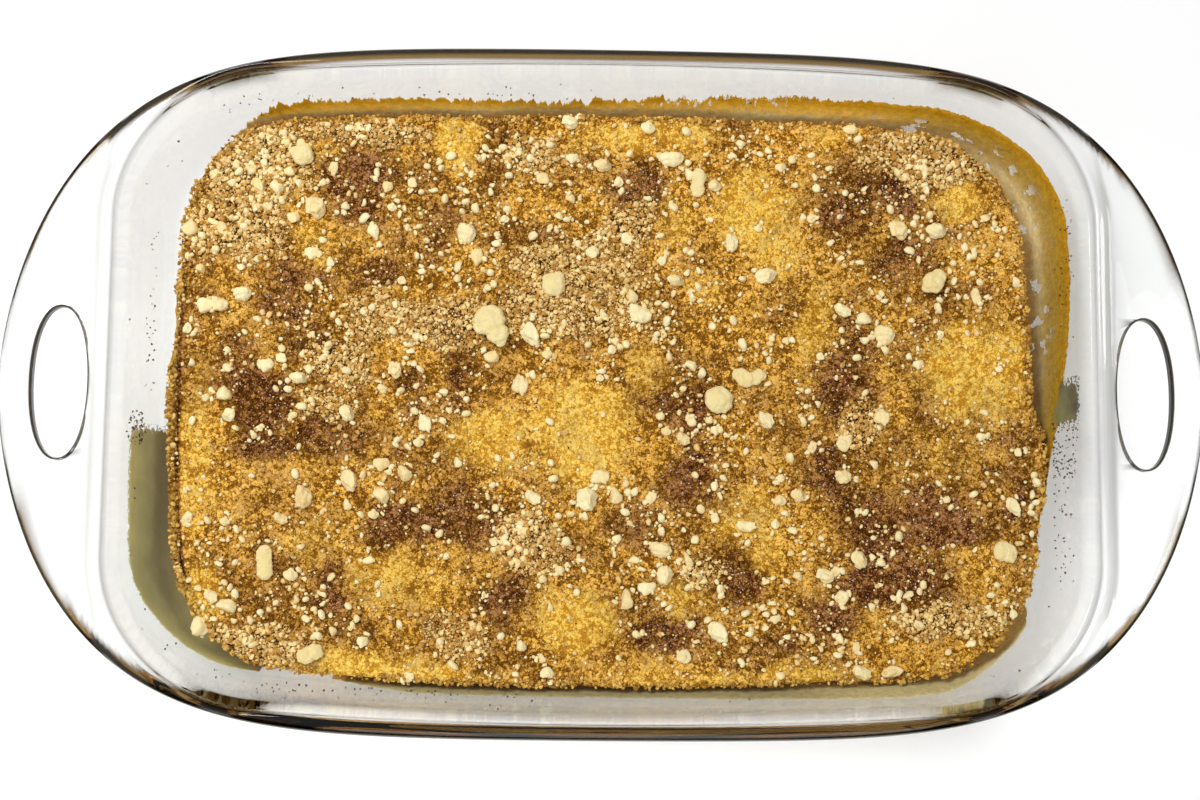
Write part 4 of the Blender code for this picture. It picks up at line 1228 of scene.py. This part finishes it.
def build_crumbs(settings, finish):
    """Pale crumbs of all sizes: those seen in the photo and smaller ones between them."""
    pale = crumb_material("pale_crumb", finish.crumb_pale, finish.crumb_deep, 0.55, 0.35)
    knobbly = [shape_arrays(crumb_shape("shape", 4, 12, 0.50, 6, 100 + i)) for i in range(8)]
    chunky = [shape_arrays(crumb_shape("shape", 3, 12, 0.50, 6, 150 + i)) for i in range(10)]
    simple = [shape_arrays(crumb_shape("shape", 2, 9, 0.50, 5, 200 + i)) for i in range(12)]
    large = scatter("large_crumbs", knobbly, listed_crumbs(LARGE_CRUMBS, 5, 0.30), 6, 0.12)
    finish_piece(large, pale)
    middle = scatter("middle_crumbs", chunky, listed_crumbs(MIDDLE_CRUMBS, 7, 0.28), 8, 0.2)
    finish_piece(middle, pale)
    taken = [(x * MM, y * MM, max(long, wide) / 2 * MM)
             for x, y, long, wide in (*LARGE_CRUMBS, *MIDDLE_CRUMBS)]
    for low, high in lump_boxes():
        taken.append(((low[0] + high[0]) / 2, (low[1] + high[1]) / 2,
                      max(high[0] - low[0], high[1] - low[1]) / 2))

    def chance(x, y):
        sugar, bare, heap = zones(x, y)
        clump = smoothstep(-0.3, 0.6, value_noise(x, y, 0.010, 81))
        return (0.36 + 0.55 * heap - 0.06 * sugar - 0.26 * bare) * (0.12 + clump)

    draw = np.random.default_rng(82)
    rows = {"small_crumbs": [], "tiny_crumbs": []}

    def strew(x, y, width, tint):
        kind = "small_crumbs" if width > 0.0019 else "tiny_crumbs"
        rows[kind].append((x, y, width, width * draw.uniform(0.65, 1.0),
                           width * draw.uniform(0.55, 0.85), 0.25,
                           draw.uniform(0, math.pi), draw.uniform(0.0, tint)))

    for count, small, big, margin in ((settings.small_crumbs, 0.0020, 0.0036, 0.0012),
                                      (settings.tiny_crumbs, 0.0009, 0.0019, 0.0002)):
        x, y = random_places(count, 83 + count, chance, margin)
        width = small + (big - small) * draw.uniform(0, 1, count) ** 1.8
        free = drop_near(x, y, width * 0.3, taken)
        for px, py, w in zip(x[free], y[free], width[free]):
            strew(px, py, w, 0.35 if w > 0.0024 else 0.8)
    for x, y, long, wide in (*LARGE_CRUMBS, *MIDDLE_CRUMBS):
        for _ in range(draw.integers(1, 6)):
            turn = draw.uniform(0, 2 * math.pi)
            w = draw.uniform(0.9, 2.5) * MM
            away = (long + wide) / 4 * MM + w * draw.uniform(0.1, 0.8)
            strew(x * MM + away * math.cos(turn), y * MM + away * math.sin(turn), w, 0.4)
    finish_piece(scatter("small_crumbs", simple, rows["small_crumbs"], 84), pale)
    round_shapes = [shape_arrays(crumb_shape("shape", 1, 5, 0.25, 1, 500 + i, 0.10))
                    for i in range(16)]
    finish_piece(scatter("tiny_crumbs", round_shapes, rows["tiny_crumbs"], 85), pale)


def angular_shapes(fineness):
    """Shapes of few faces for what is strewn by the thousand."""
    return [shape_arrays(crumb_shape("shape", fineness, 7, 0.45, fineness, 300 + i))
            for i in range(20)]


def build_granules(settings, finish):
    """Tan granules heaped on the cake and brown sugar grains strewn between them."""
    tan = crumb_material("tan_granule", finish.granule_pale, finish.granule_deep, 0.65, 0.4)
    chunky, fine = angular_shapes(1), angular_shapes(0)
    draw = np.random.default_rng(91)

    def heaped(x, y):
        heap = zones(x, y)[2]
        clump = 0.5 + 0.5 * value_noise(x, y, 0.004, 93)
        return 0.02 + smoothstep(0.10, 0.60, heap) * (0.45 + clump)

    def sugared(x, y):
        sugar, bare, heap = zones(x, y)
        return 0.38 + 0.5 * sugar - 0.34 * bare - 0.2 * heap

    brown = crumb_material("brown_sugar_grain", finish.grain_pale, finish.grain_deep, 0.4, 0.3)
    # The crystals' pale colour is a painted glint, on small glossy crystals of sugar
    glint = plain_grain_material("sugar_crystal_painted_glint", finish.crystal_painted_glint, finish.crystal_painted_glint_deep, 900.0, 0.15)
    crust = crumb_material("edge_crumb", finish.edge_pale, finish.edge_deep, 0.6, 0.4)

    def glinting(x, y):
        return 0.02 + zones(x, y)[0] ** 2

    def at_the_edge(x, y):
        clump = 0.4 + 0.6 * value_noise(x, y, 0.006, 99)
        return np.maximum(clump, 0.05) * (1.0 - smoothstep(0.0002, 0.0026, true_inside(x, y)))

    kinds = (("edge_crumbs", settings.edge_crumbs, chunky, 0.0007, 0.0020, 1.8, at_the_edge, crust,
              101),
             ("tan_granules", settings.granules, chunky, 0.0008, 0.0023, 2.0, heaped, tan, 92),
             ("tan_granules_fine", settings.fine_granules, fine, 0.0006, 0.0012, 1.5, heaped, tan,
              94),
             ("sugar_grains", settings.grains, fine, 0.0004, 0.0009, 1.5, sugared, brown, 96),
             ("sugar_crystals", settings.crystals, fine, 0.0003, 0.0007, 1.5, glinting, glint, 98))
    for name, count, shapes, small, big, power, chance, material, seed in kinds:
        margin = OVERHANG_MARGIN if name == "edge_crumbs" else STREWN_MARGIN
        x, y = random_places(count, seed, chance, margin)
        width = small + (big - small) * draw.uniform(0, 1, count) ** power
        rows = np.column_stack([x, y, width, width * draw.uniform(0.6, 1.0, count),
                                width * draw.uniform(0.5, 0.95, count),
                                draw.uniform(-0.2, 0.35, count),
                                draw.uniform(0, math.pi, count),
                                draw.uniform(0, 1, count)])
        finish_piece(scatter(name, shapes, rows, seed + 1, 0.8), material,
                     flat=True)


# Film and specks on the glass

def wall_places(stations):
    """Places along the outline at the given stations in degrees."""
    turned = (np.asarray(stations) - STATIONS[0]) % 360.0 + STATIONS[0]
    return np.interp(turned, STATIONS, np.arange(len(STATIONS), dtype=float))


def wall_skin(name, keys, columns, rows, thick, teeth_keys, seed):
    """A thin skin on the inner wall, up to a jagged edge at the heights of the keys."""
    angles = np.linspace(keys[0][0], keys[-1][0], columns)
    top = np.interp(angles, [key[0] for key in keys], [key[1] for key in keys]) * MM
    points, outward = outline_at(wall_places(angles))
    step = np.linalg.norm(np.diff(points, axis=0), axis=1)
    run = np.concatenate([[0.0], np.cumsum(step)])
    draw = np.random.default_rng(seed)
    teeth = 0.35 * value_noise(run, run * 0, 0.0034, seed)
    teeth += 0.45 * value_noise(run, run * 0, 0.0013, seed + 1)
    teeth += 0.30 * draw.uniform(-1, 1, columns)
    low = np.full(columns, FILM_FOOT)
    high = np.maximum(top + between_keys(angles, teeth_keys) * MM * teeth, low + 0.0003)
    levels = [(share, thick) for share in np.linspace(0.0, 1.0, rows)]
    levels += [(share, -SKIN_INTO_GLASS) for share in np.linspace(1.0, 0.0, rows)]
    rings = []
    for share, out in levels:
        height = blend(low, high, share)
        thin = out if out < 0 else out * (1.0 - 0.8 * share)
        place = points - outward * (inner_inset(height) + thin)[:, None]
        rings.append(np.column_stack([place, height]))
    rings = np.array(rings)
    piece, column, row = grid(name, columns - 1, len(rings))
    put(piece, rings[row % len(rings), column])
    close_skin(piece)
    at = coordinates(piece)
    angle = station_of(at)
    angle = np.where(angle < keys[0][0] - 1.0, angle + 360.0, angle)
    ceiling = np.interp(angle, [key[0] for key in keys], [key[1] for key in keys]) * MM
    foot = FILM_CLIMB_FROM + FILM_CLIMB_MORE * smoothstep(400, 424, angle)
    climb = np.clip((at[:, 2] - foot) / np.maximum(ceiling - foot, 0.002), 0.0, 1.0)
    add_values(piece, "climb", climb)
    return piece, angle, climb


def close_skin(piece):
    """Joins the seams of a rolled grid, closes its ends and turns its faces outwards."""
    only(piece)
    bpy.ops.object.mode_set(mode="EDIT")
    bpy.ops.mesh.select_all(action="SELECT")
    bpy.ops.mesh.remove_doubles(threshold=1e-6)
    bpy.ops.mesh.select_all(action="SELECT")
    bpy.ops.mesh.fill_holes(sides=0)
    bpy.ops.mesh.select_all(action="SELECT")
    bpy.ops.mesh.normals_make_consistent(inside=False)
    bpy.ops.object.mode_set(mode="OBJECT")


def build_film(settings, finish):
    """The crust baked on to the wall above the cake, with a jagged upper edge."""
    material = film_material(finish)
    for index, keys in enumerate(FILM_STRETCHES):
        film, angle, climb = wall_skin("baked_on_film_%d" % (index + 1), keys,
                                       1500 if index == 0 else 800, 14, FILM_THICKNESS, FILM_TEETH,
                                       18 + index)
        add_values(film, "warm", 0.5 * smoothstep(392, 424, angle) if index == 0
                   else 0.0 * angle - 5.0)
        # Painted light: the film is made paler low on the wall beside the cake, against the shade that
        # falls in the gap
        painted_lift_near_cake = blend(1.6 * (1.0 - climb) ** 6, 1.4 * (1.0 - climb), smoothstep(400, 424, angle))
        add_values(film, "thin", np.minimum(between_keys(angle, FILM_LIGHTNESS_AND_PAINTED_SHADE) * (1.0 + painted_lift_near_cake),
                                            0.98))
        low = 1.0 - smoothstep(0.30, 0.75, climb)
        add_values(film, "scraped", low * (smoothstep(364, 372, angle)
                                           - smoothstep(410, 424, angle))
                   if index == 0 else 0.0 * angle)
        add_values(film, "scratched", smoothstep(0.15, 0.5, climb)
                   * (smoothstep(424, 429, angle) - smoothstep(444, 450, angle)))
        finish_piece(film, material)


def build_grease_and_reflection(settings, finish):
    """Dark olive greasy patches on the inner wall beside the cake, their colour a painted reflection of
    dark surroundings.
    """
    cover = settings.grease_reflection_cover
    materials = (grease_and_reflection_material("olive_grease_painted_reflection", finish.grease_painted_reflection, finish.grease_deep_painted_reflection, cover),
                 grease_and_reflection_material("dark_grease_painted_reflection", finish.grease_dark_painted_reflection, finish.grease_deep_painted_reflection, cover))
    for index, keys in enumerate(GREASE_REFLECTION_STRETCHES):
        patch, angle, climb = wall_skin("grease_patch_%d" % (index + 1), keys,
                                        420 if index == 0 else 90, 16, GREASE_REFLECTION_THICKNESS, GREASE_REFLECTION_TEETH,
                                        28 + index)
        add_values(patch, "body", smoothstep(1.0, 0.80, climb)
                   * smoothstep(keys[0][0] + 0.6, keys[0][0] + 4.0, angle)
                   * smoothstep(keys[-1][0], keys[-1][0] - 4.0, angle))
        finish_piece(patch, materials[index])


def build_specks(settings, finish):
    """Tiny dark crumbs and droplets that stick to the inner wall."""
    material = plain_grain_material("wall_speck", finish.speck, finish.grain_deep, 700.0, 0.4)
    shapes = [shape_arrays(crumb_shape("shape", 2, 4, 0.4, 3, 400 + i)) for i in range(4)]
    draw = np.random.default_rng(33)
    clusters = ((184, 190, 34, 45, 60), (228, 262, 30, 42, 60), (346, 356, 30, 45, 110),
                (18, 34, 36, 45, 30), (96, 132, 37, 45, 30), (330, 346, 30, 42, 40),
                (0, 360, 30, 45, 60), (150, 182, 28, 34, 30))
    places, faces, start = [], [], 0
    for first, last, low, high, count in clusters:
        for _ in range(count):
            station = draw.uniform(first, last) % 360.0
            point, outward = outline_at(wall_places([station]))
            height = low + (high - low) * draw.uniform(0, 1) ** 1.6
            width = draw.uniform(0.40, 0.85) * MM
            inset = wall_inset(height * MM) + 0.35 * width
            centre = np.append(point[0] - outward[0] * inset, height * MM)
            shape, tris = shapes[draw.integers(0, len(shapes))]
            turned = np.array(Euler((0, 0, draw.uniform(0, 6.2))).to_matrix())
            places.append((shape * width * (1.0, draw.uniform(0.6, 1.0), 0.7)) @ turned.T + centre)
            faces.append(tris + start)
            start += len(shape)
    finish_piece(mesh_piece("wall_specks", places, faces), material)


# Stage

def build_stage(settings, finish):
    """Pale floor, soft light from above and the photo's camera."""
    all_off()
    bpy.ops.mesh.primitive_circle_add(vertices=96, radius=settings.floor_radius,
                                      fill_type="NGON", location=(0.0, 0.0, -0.0004))
    floor = bpy.context.active_object
    floor.name = floor.data.name = "floor"
    bpy.ops.object.transform_apply(location=True)
    material, tree, shader = new_material("pale_floor")
    where = node(tree, "ShaderNodeTexCoord").outputs["Object"]
    cloud = noise(tree, where, 6.0, 2.0)
    tree.links.new(mix(tree, cloud, (0.69, 0.69, 0.69, 1), (0.71, 0.71, 0.71, 1)),
                   shader.inputs["Base Color"])
    shader.inputs["Roughness"].default_value = 0.8
    shader.inputs["Emission Color"].default_value = (1.0, 1.0, 1.0, 1.0)
    shader.inputs["Emission Strength"].default_value = settings.floor_glow
    floor.data.materials.append(material)

    scene = bpy.context.scene
    world = bpy.data.worlds.new("studio")
    scene.world = world
    world.use_nodes = True
    tree = world.node_tree
    height = node(tree, "ShaderNodeSeparateXYZ",
                  {"Vector": node(tree, "ShaderNodeTexCoord").outputs["Generated"]}).outputs["Z"]
    sky = ramp(tree, maths(tree, "MULTIPLY_ADD", height, 0.5, 0.5),
               ((0.0, (0.05, 0.04, 0.02)), (0.44, (0.13, 0.08, 0.025)), (0.56, (0.12, 0.075, 0.025)),
                (0.64, (0.02, 0.02, 0.02)), (0.69, (0.02, 0.02, 0.02)),
                (0.80, (0.85, 0.86, 0.88)), (1.0, (1.0, 1.0, 1.0))))
    seen = mix(tree, node(tree, "ShaderNodeLightPath").outputs["Is Camera Ray"], sky,
               (0.86, 0.87, 0.88, 1.0))
    back = tree.nodes["Background"]
    tree.links.new(seen, back.inputs["Color"])
    back.inputs["Strength"].default_value = settings.sky_strength

    for name, place, size, power in (
            ("key", (-0.42, 0.34, 0.78), 0.45, settings.key_power),
            ("fill", (0.55, -0.10, 0.75), 0.60, settings.key_power * 0.22),
            ("front", (0.05, -0.80, 0.40), 0.60, settings.key_power * 0.30)):
        data = bpy.data.lights.new(name, "AREA")
        data.shape = "DISK"
        data.size = size
        data.energy = power
        light = bpy.data.objects.new(name, data)
        scene.collection.objects.link(light)
        light.location = place
        light.rotation_euler = (-Vector(place)).to_track_quat("-Z", "Y").to_euler()
        light.visible_camera = False

    data = bpy.data.cameras.new("photo_camera")
    data.lens = CAMERA_LENS
    data.sensor_width = CAMERA_SENSOR
    data.clip_start = 0.01
    camera = bpy.data.objects.new("photo_camera", data)
    scene.collection.objects.link(camera)
    about_z, about_x, about_y = CAMERA_TURNS
    turn = (Matrix.Rotation(about_z, 4, "Z") @ Matrix.Rotation(about_x, 4, "X")
            @ Matrix.Rotation(about_y, 4, "Y"))
    camera.matrix_world = Matrix.Translation(CAMERA_PLACE) @ turn
    scene.camera = camera
    scene.view_settings.view_transform = "Standard"


# Settings

def tone(name, description, default):
    return bpy.props.FloatVectorProperty(name=name, description=description, default=default,
                                         subtype="COLOR", size=3, min=0.0, max=1.0)


def count_of(name, description, default, least, most):
    return bpy.props.IntProperty(name=name, description=description, default=default, min=least,
                                 max=most)


def length(name, description, default, least, most):
    return bpy.props.FloatProperty(name=name, description=description, default=default, min=least,
                                   max=most, unit="LENGTH", subtype="DISTANCE")


class CoffeeCakeSizes(bpy.types.PropertyGroup):
    outline_detail: count_of("Outline Detail", "Half the points along each end of the dish", 44, 12, 120)
    hole_rounding: length("Hole Rounding", "How far the edges of the finger holes are rounded",
                          0.0013, 0.0002, 0.0024)
    top_columns: count_of("Top Columns", "Faces along the length of the cake's top", 340, 60, 360)
    top_rows: count_of("Top Rows", "Faces across the cake's top", 228, 40, 240)
    lump_voxel: length("Lump Detail", "Grid on which the balls of a lump grow together",
                       0.00034, 0.0002, 0.002)
    small_crumbs: count_of("Small Crumbs", "How many crumbs of 2 to 3.6 mm are strewn", 1000, 0, 2000)
    tiny_crumbs: count_of("Tiny Crumbs", "How many crumbs of 0.9 to 1.9 mm are strewn", 2800, 0, 8000)
    granules: count_of("Tan Granules", "How many tan granules lie in the heaps", 9000, 0, 9500)
    fine_granules: count_of("Fine Granules", "How many fine tan granules lie between them",
                            21000, 0, 24000)
    grains: count_of("Sugar Grains", "How many brown sugar grains are strewn", 22000, 0, 24000)
    # The crystals carry a painted glint in their pale colour
    crystals: count_of("Sugar Crystals", "How many pale sugar crystals glint on the sugar",
                       3000, 0, 24000)
    edge_crumbs: count_of("Edge Crumbs", "How many crumbs of crust cling along the cake's edge",
                          3000, 0, 9500)
    # How much the greasy patches with their painted reflection hide
    grease_reflection_cover: bpy.props.FloatProperty(
        name="Grease Cover", description="How much the greasy patches hide", default=0.8,
        min=0.0, max=1.0, subtype="FACTOR")
    floor_radius: bpy.props.FloatProperty(
        name="Floor Radius", description="Radius of the floor", default=0.285, min=0.25,
        unit="LENGTH", subtype="DISTANCE")
    floor_glow: bpy.props.FloatProperty(
        name="Floor Glow", description="Light that the floor gives, as a lit studio table does",
        default=0.30, min=0.0, max=2.0)
    sky_strength: bpy.props.FloatProperty(
        name="Sky Strength", description="Strength of the soft light all round", default=0.45,
        min=0.0, max=3.0)
    key_power: bpy.props.FloatProperty(
        name="Key Power", description="Power of the main soft lamp", default=6.5, min=0.0,
        unit="POWER")


class CoffeeCakeColours(bpy.types.PropertyGroup):
    glass_tint: tone("Glass", "Tint of the clear glass", (0.93, 0.94, 0.935))
    # Painted shade and painted glints of the glass by viewing angle, and of its rim bead and finger
    # holes
    glass_edge_painted_shade: tone("Glass Edge", "Tone of the glass seen edge on", (0.05, 0.042, 0.025))
    glass_painted_glint: tone("Glass Glint", "Golden brown beside the dark edges", (0.40, 0.21, 0.045))
    bead_painted_glint: tone("Bead", "Golden brown of the rolled rim", (0.105, 0.042, 0.0035))
    bead_painted_shade: tone("Bead Edge", "Black of the rolled rim seen aslant", (0.0040, 0.0030, 0.0016))
    lip: tone("Crust Lip", "Olive-brown lip of crust at the left end", (0.36, 0.22, 0.05))
    crust: tone("Crust", "Orange-brown sugared top", (0.73, 0.370, 0.046))
    sugar: tone("Brown Sugar", "Dark sugar patches", (0.135, 0.044, 0.009))
    bare: tone("Bare Cake", "Golden cake that shows", (0.92, 0.565, 0.080))
    # The heaps' dark ground is painted shade between the granules
    heap: tone("Tan Heaps", "Ground below heaped tan crumbs", (0.13, 0.055, 0.011))
    side: tone("Cake Side", "Crumb of the cake at the glass", (0.44, 0.245, 0.046))
    lump_pale: tone("Lump", "Pale side of the lumps", (0.82, 0.71, 0.385))
    lump_deep: tone("Lump Hollows", "Golden hollows of the lumps", (0.78, 0.55, 0.175))
    crumb_pale: tone("Crumb", "Pale side of the crumbs", (0.94, 0.84, 0.50))
    crumb_deep: tone("Crumb Hollows", "Golden tone of the crumbs", (0.80, 0.54, 0.19))
    granule_pale: tone("Granule", "Pale tan granules", (1.00, 0.80, 0.37))
    granule_deep: tone("Granule Shade", "Deep tan granules", (0.52, 0.26, 0.045))
    grain_pale: tone("Sugar Grain", "Pale brown sugar grains", (0.66, 0.34, 0.09))
    grain_deep: tone("Sugar Grain Shade", "Dark brown sugar grains", (0.12, 0.040, 0.010))
    edge_pale: tone("Edge Crumb", "Golden crumbs along the cake's edge", (0.84, 0.54, 0.13))
    edge_deep: tone("Edge Crumb Shade", "Browned crumbs along the edge", (0.34, 0.165, 0.028))
    # Pale crystal colours are a painted glint on the dark sugar
    crystal_painted_glint: tone("Sugar Crystal", "Pale crystals on the dark sugar", (0.84, 0.76, 0.74))
    crystal_painted_glint_deep: tone("Crystal Shade", "Duller crystals", (0.50, 0.38, 0.36))
    # The pale and grey film low on the wall are partly the film's own tone, partly painted light against
    # the shade beside the cake
    film_pale: tone("Film Pale", "Palest film, low on the wall", (1.0, 0.85, 0.42))
    film_grey: tone("Film Grey", "Film beside the cake", (0.95, 0.78, 0.36))
    film_olive: tone("Film Olive", "Lower part of the film", (0.98, 0.66, 0.16))
    film_tan: tone("Film Tan", "Middle of the film", (1.00, 0.56, 0.03))
    film_brown: tone("Film Brown", "Upper edge of the film", (0.98, 0.48, 0.006))
    # Grease colours are a painted reflection of dark surroundings in the wall, on greasy patches with
    # droplets
    grease_painted_reflection: tone("Grease", "Olive grease on the wall", (0.76, 0.69, 0.27))
    grease_deep_painted_reflection: tone("Grease Shade", "Deeper olive grease", (0.44, 0.40, 0.15))
    grease_dark_painted_reflection: tone("Dark Grease", "Dark grease at the right end", (0.085, 0.090, 0.055))
    speck: tone("Specks", "Dark specks on the wall", (0.06, 0.05, 0.04))


# Operators

def settings_of(context):
    return context.scene.coffee_cake_sizes, context.scene.coffee_cake_colours


class COFFEECAKE_OT_dish(bpy.types.Operator):
    """Model the glass baking dish with its rim and finger holes"""
    bl_idname = "coffeecake.dish"
    bl_label = "Glass Dish"

    def execute(self, context):
        build_dish(*settings_of(context))
        return {"FINISHED"}


class COFFEECAKE_OT_cake(bpy.types.Operator):
    """Model the baked cake, whose sides drop straight from the edge of its top"""
    bl_idname = "coffeecake.cake"
    bl_label = "Cake"

    def execute(self, context):
        build_cake(*settings_of(context))
        return {"FINISHED"}


class COFFEECAKE_OT_lumps(bpy.types.Operator):
    """Model the berry-sized lumps of topping"""
    bl_idname = "coffeecake.lumps"
    bl_label = "Lumps"

    def execute(self, context):
        build_lumps(*settings_of(context))
        return {"FINISHED"}


class COFFEECAKE_OT_crumbs(bpy.types.Operator):
    """Strew the pale crumbs over the cake"""
    bl_idname = "coffeecake.crumbs"
    bl_label = "Crumbs"

    def execute(self, context):
        build_crumbs(*settings_of(context))
        return {"FINISHED"}


class COFFEECAKE_OT_granules(bpy.types.Operator):
    """Heap the tan granules and strew the brown sugar grains"""
    bl_idname = "coffeecake.granules"
    bl_label = "Granules and Sugar"

    def execute(self, context):
        build_granules(*settings_of(context))
        return {"FINISHED"}


class COFFEECAKE_OT_film(bpy.types.Operator):
    """Model the baked-on film, the greasy patches with their painted reflection, and the specks on the
    inner wall
    """
    bl_idname = "coffeecake.film"
    bl_label = "Film on the Glass"

    def execute(self, context):
        build_film(*settings_of(context))
        build_grease_and_reflection(*settings_of(context))
        build_specks(*settings_of(context))
        return {"FINISHED"}


class COFFEECAKE_OT_stage(bpy.types.Operator):
    """Set up the floor, the lights and the camera"""
    bl_idname = "coffeecake.stage"
    bl_label = "Stage"

    def execute(self, context):
        build_stage(*settings_of(context))
        return {"FINISHED"}


PIECES = (COFFEECAKE_OT_dish, COFFEECAKE_OT_cake, COFFEECAKE_OT_lumps, COFFEECAKE_OT_crumbs,
          COFFEECAKE_OT_granules, COFFEECAKE_OT_film, COFFEECAKE_OT_stage)


class COFFEECAKE_PT_panel(bpy.types.Panel):
    """Sizes, colours and pieces of the coffee cake"""
    bl_idname = "COFFEECAKE_PT_panel"
    bl_label = "Coffee Cake"
    bl_space_type = "VIEW_3D"
    bl_region_type = "UI"
    bl_category = "Coffee Cake"

    def draw(self, context):
        for group in settings_of(context):
            box = self.layout.box()
            for name in group.__annotations__:
                box.prop(group, name)
        for piece in PIECES:
            self.layout.operator(piece.bl_idname)


CLASSES = (CoffeeCakeSizes, CoffeeCakeColours, *PIECES, COFFEECAKE_PT_panel)


def register():
    for item in CLASSES:
        bpy.utils.register_class(item)
    bpy.types.Scene.coffee_cake_sizes = bpy.props.PointerProperty(type=CoffeeCakeSizes)
    bpy.types.Scene.coffee_cake_colours = bpy.props.PointerProperty(type=CoffeeCakeColours)


def unregister():
    del bpy.types.Scene.coffee_cake_colours
    del bpy.types.Scene.coffee_cake_sizes
    for item in reversed(CLASSES):
        bpy.utils.unregister_class(item)


def main():
    register()
    bpy.ops.coffeecake.dish()
    bpy.ops.coffeecake.cake()
    bpy.ops.coffeecake.lumps()
    bpy.ops.coffeecake.crumbs()
    bpy.ops.coffeecake.granules()
    bpy.ops.coffeecake.film()
    bpy.ops.coffeecake.stage()


if __name__ == "__main__":
    main()
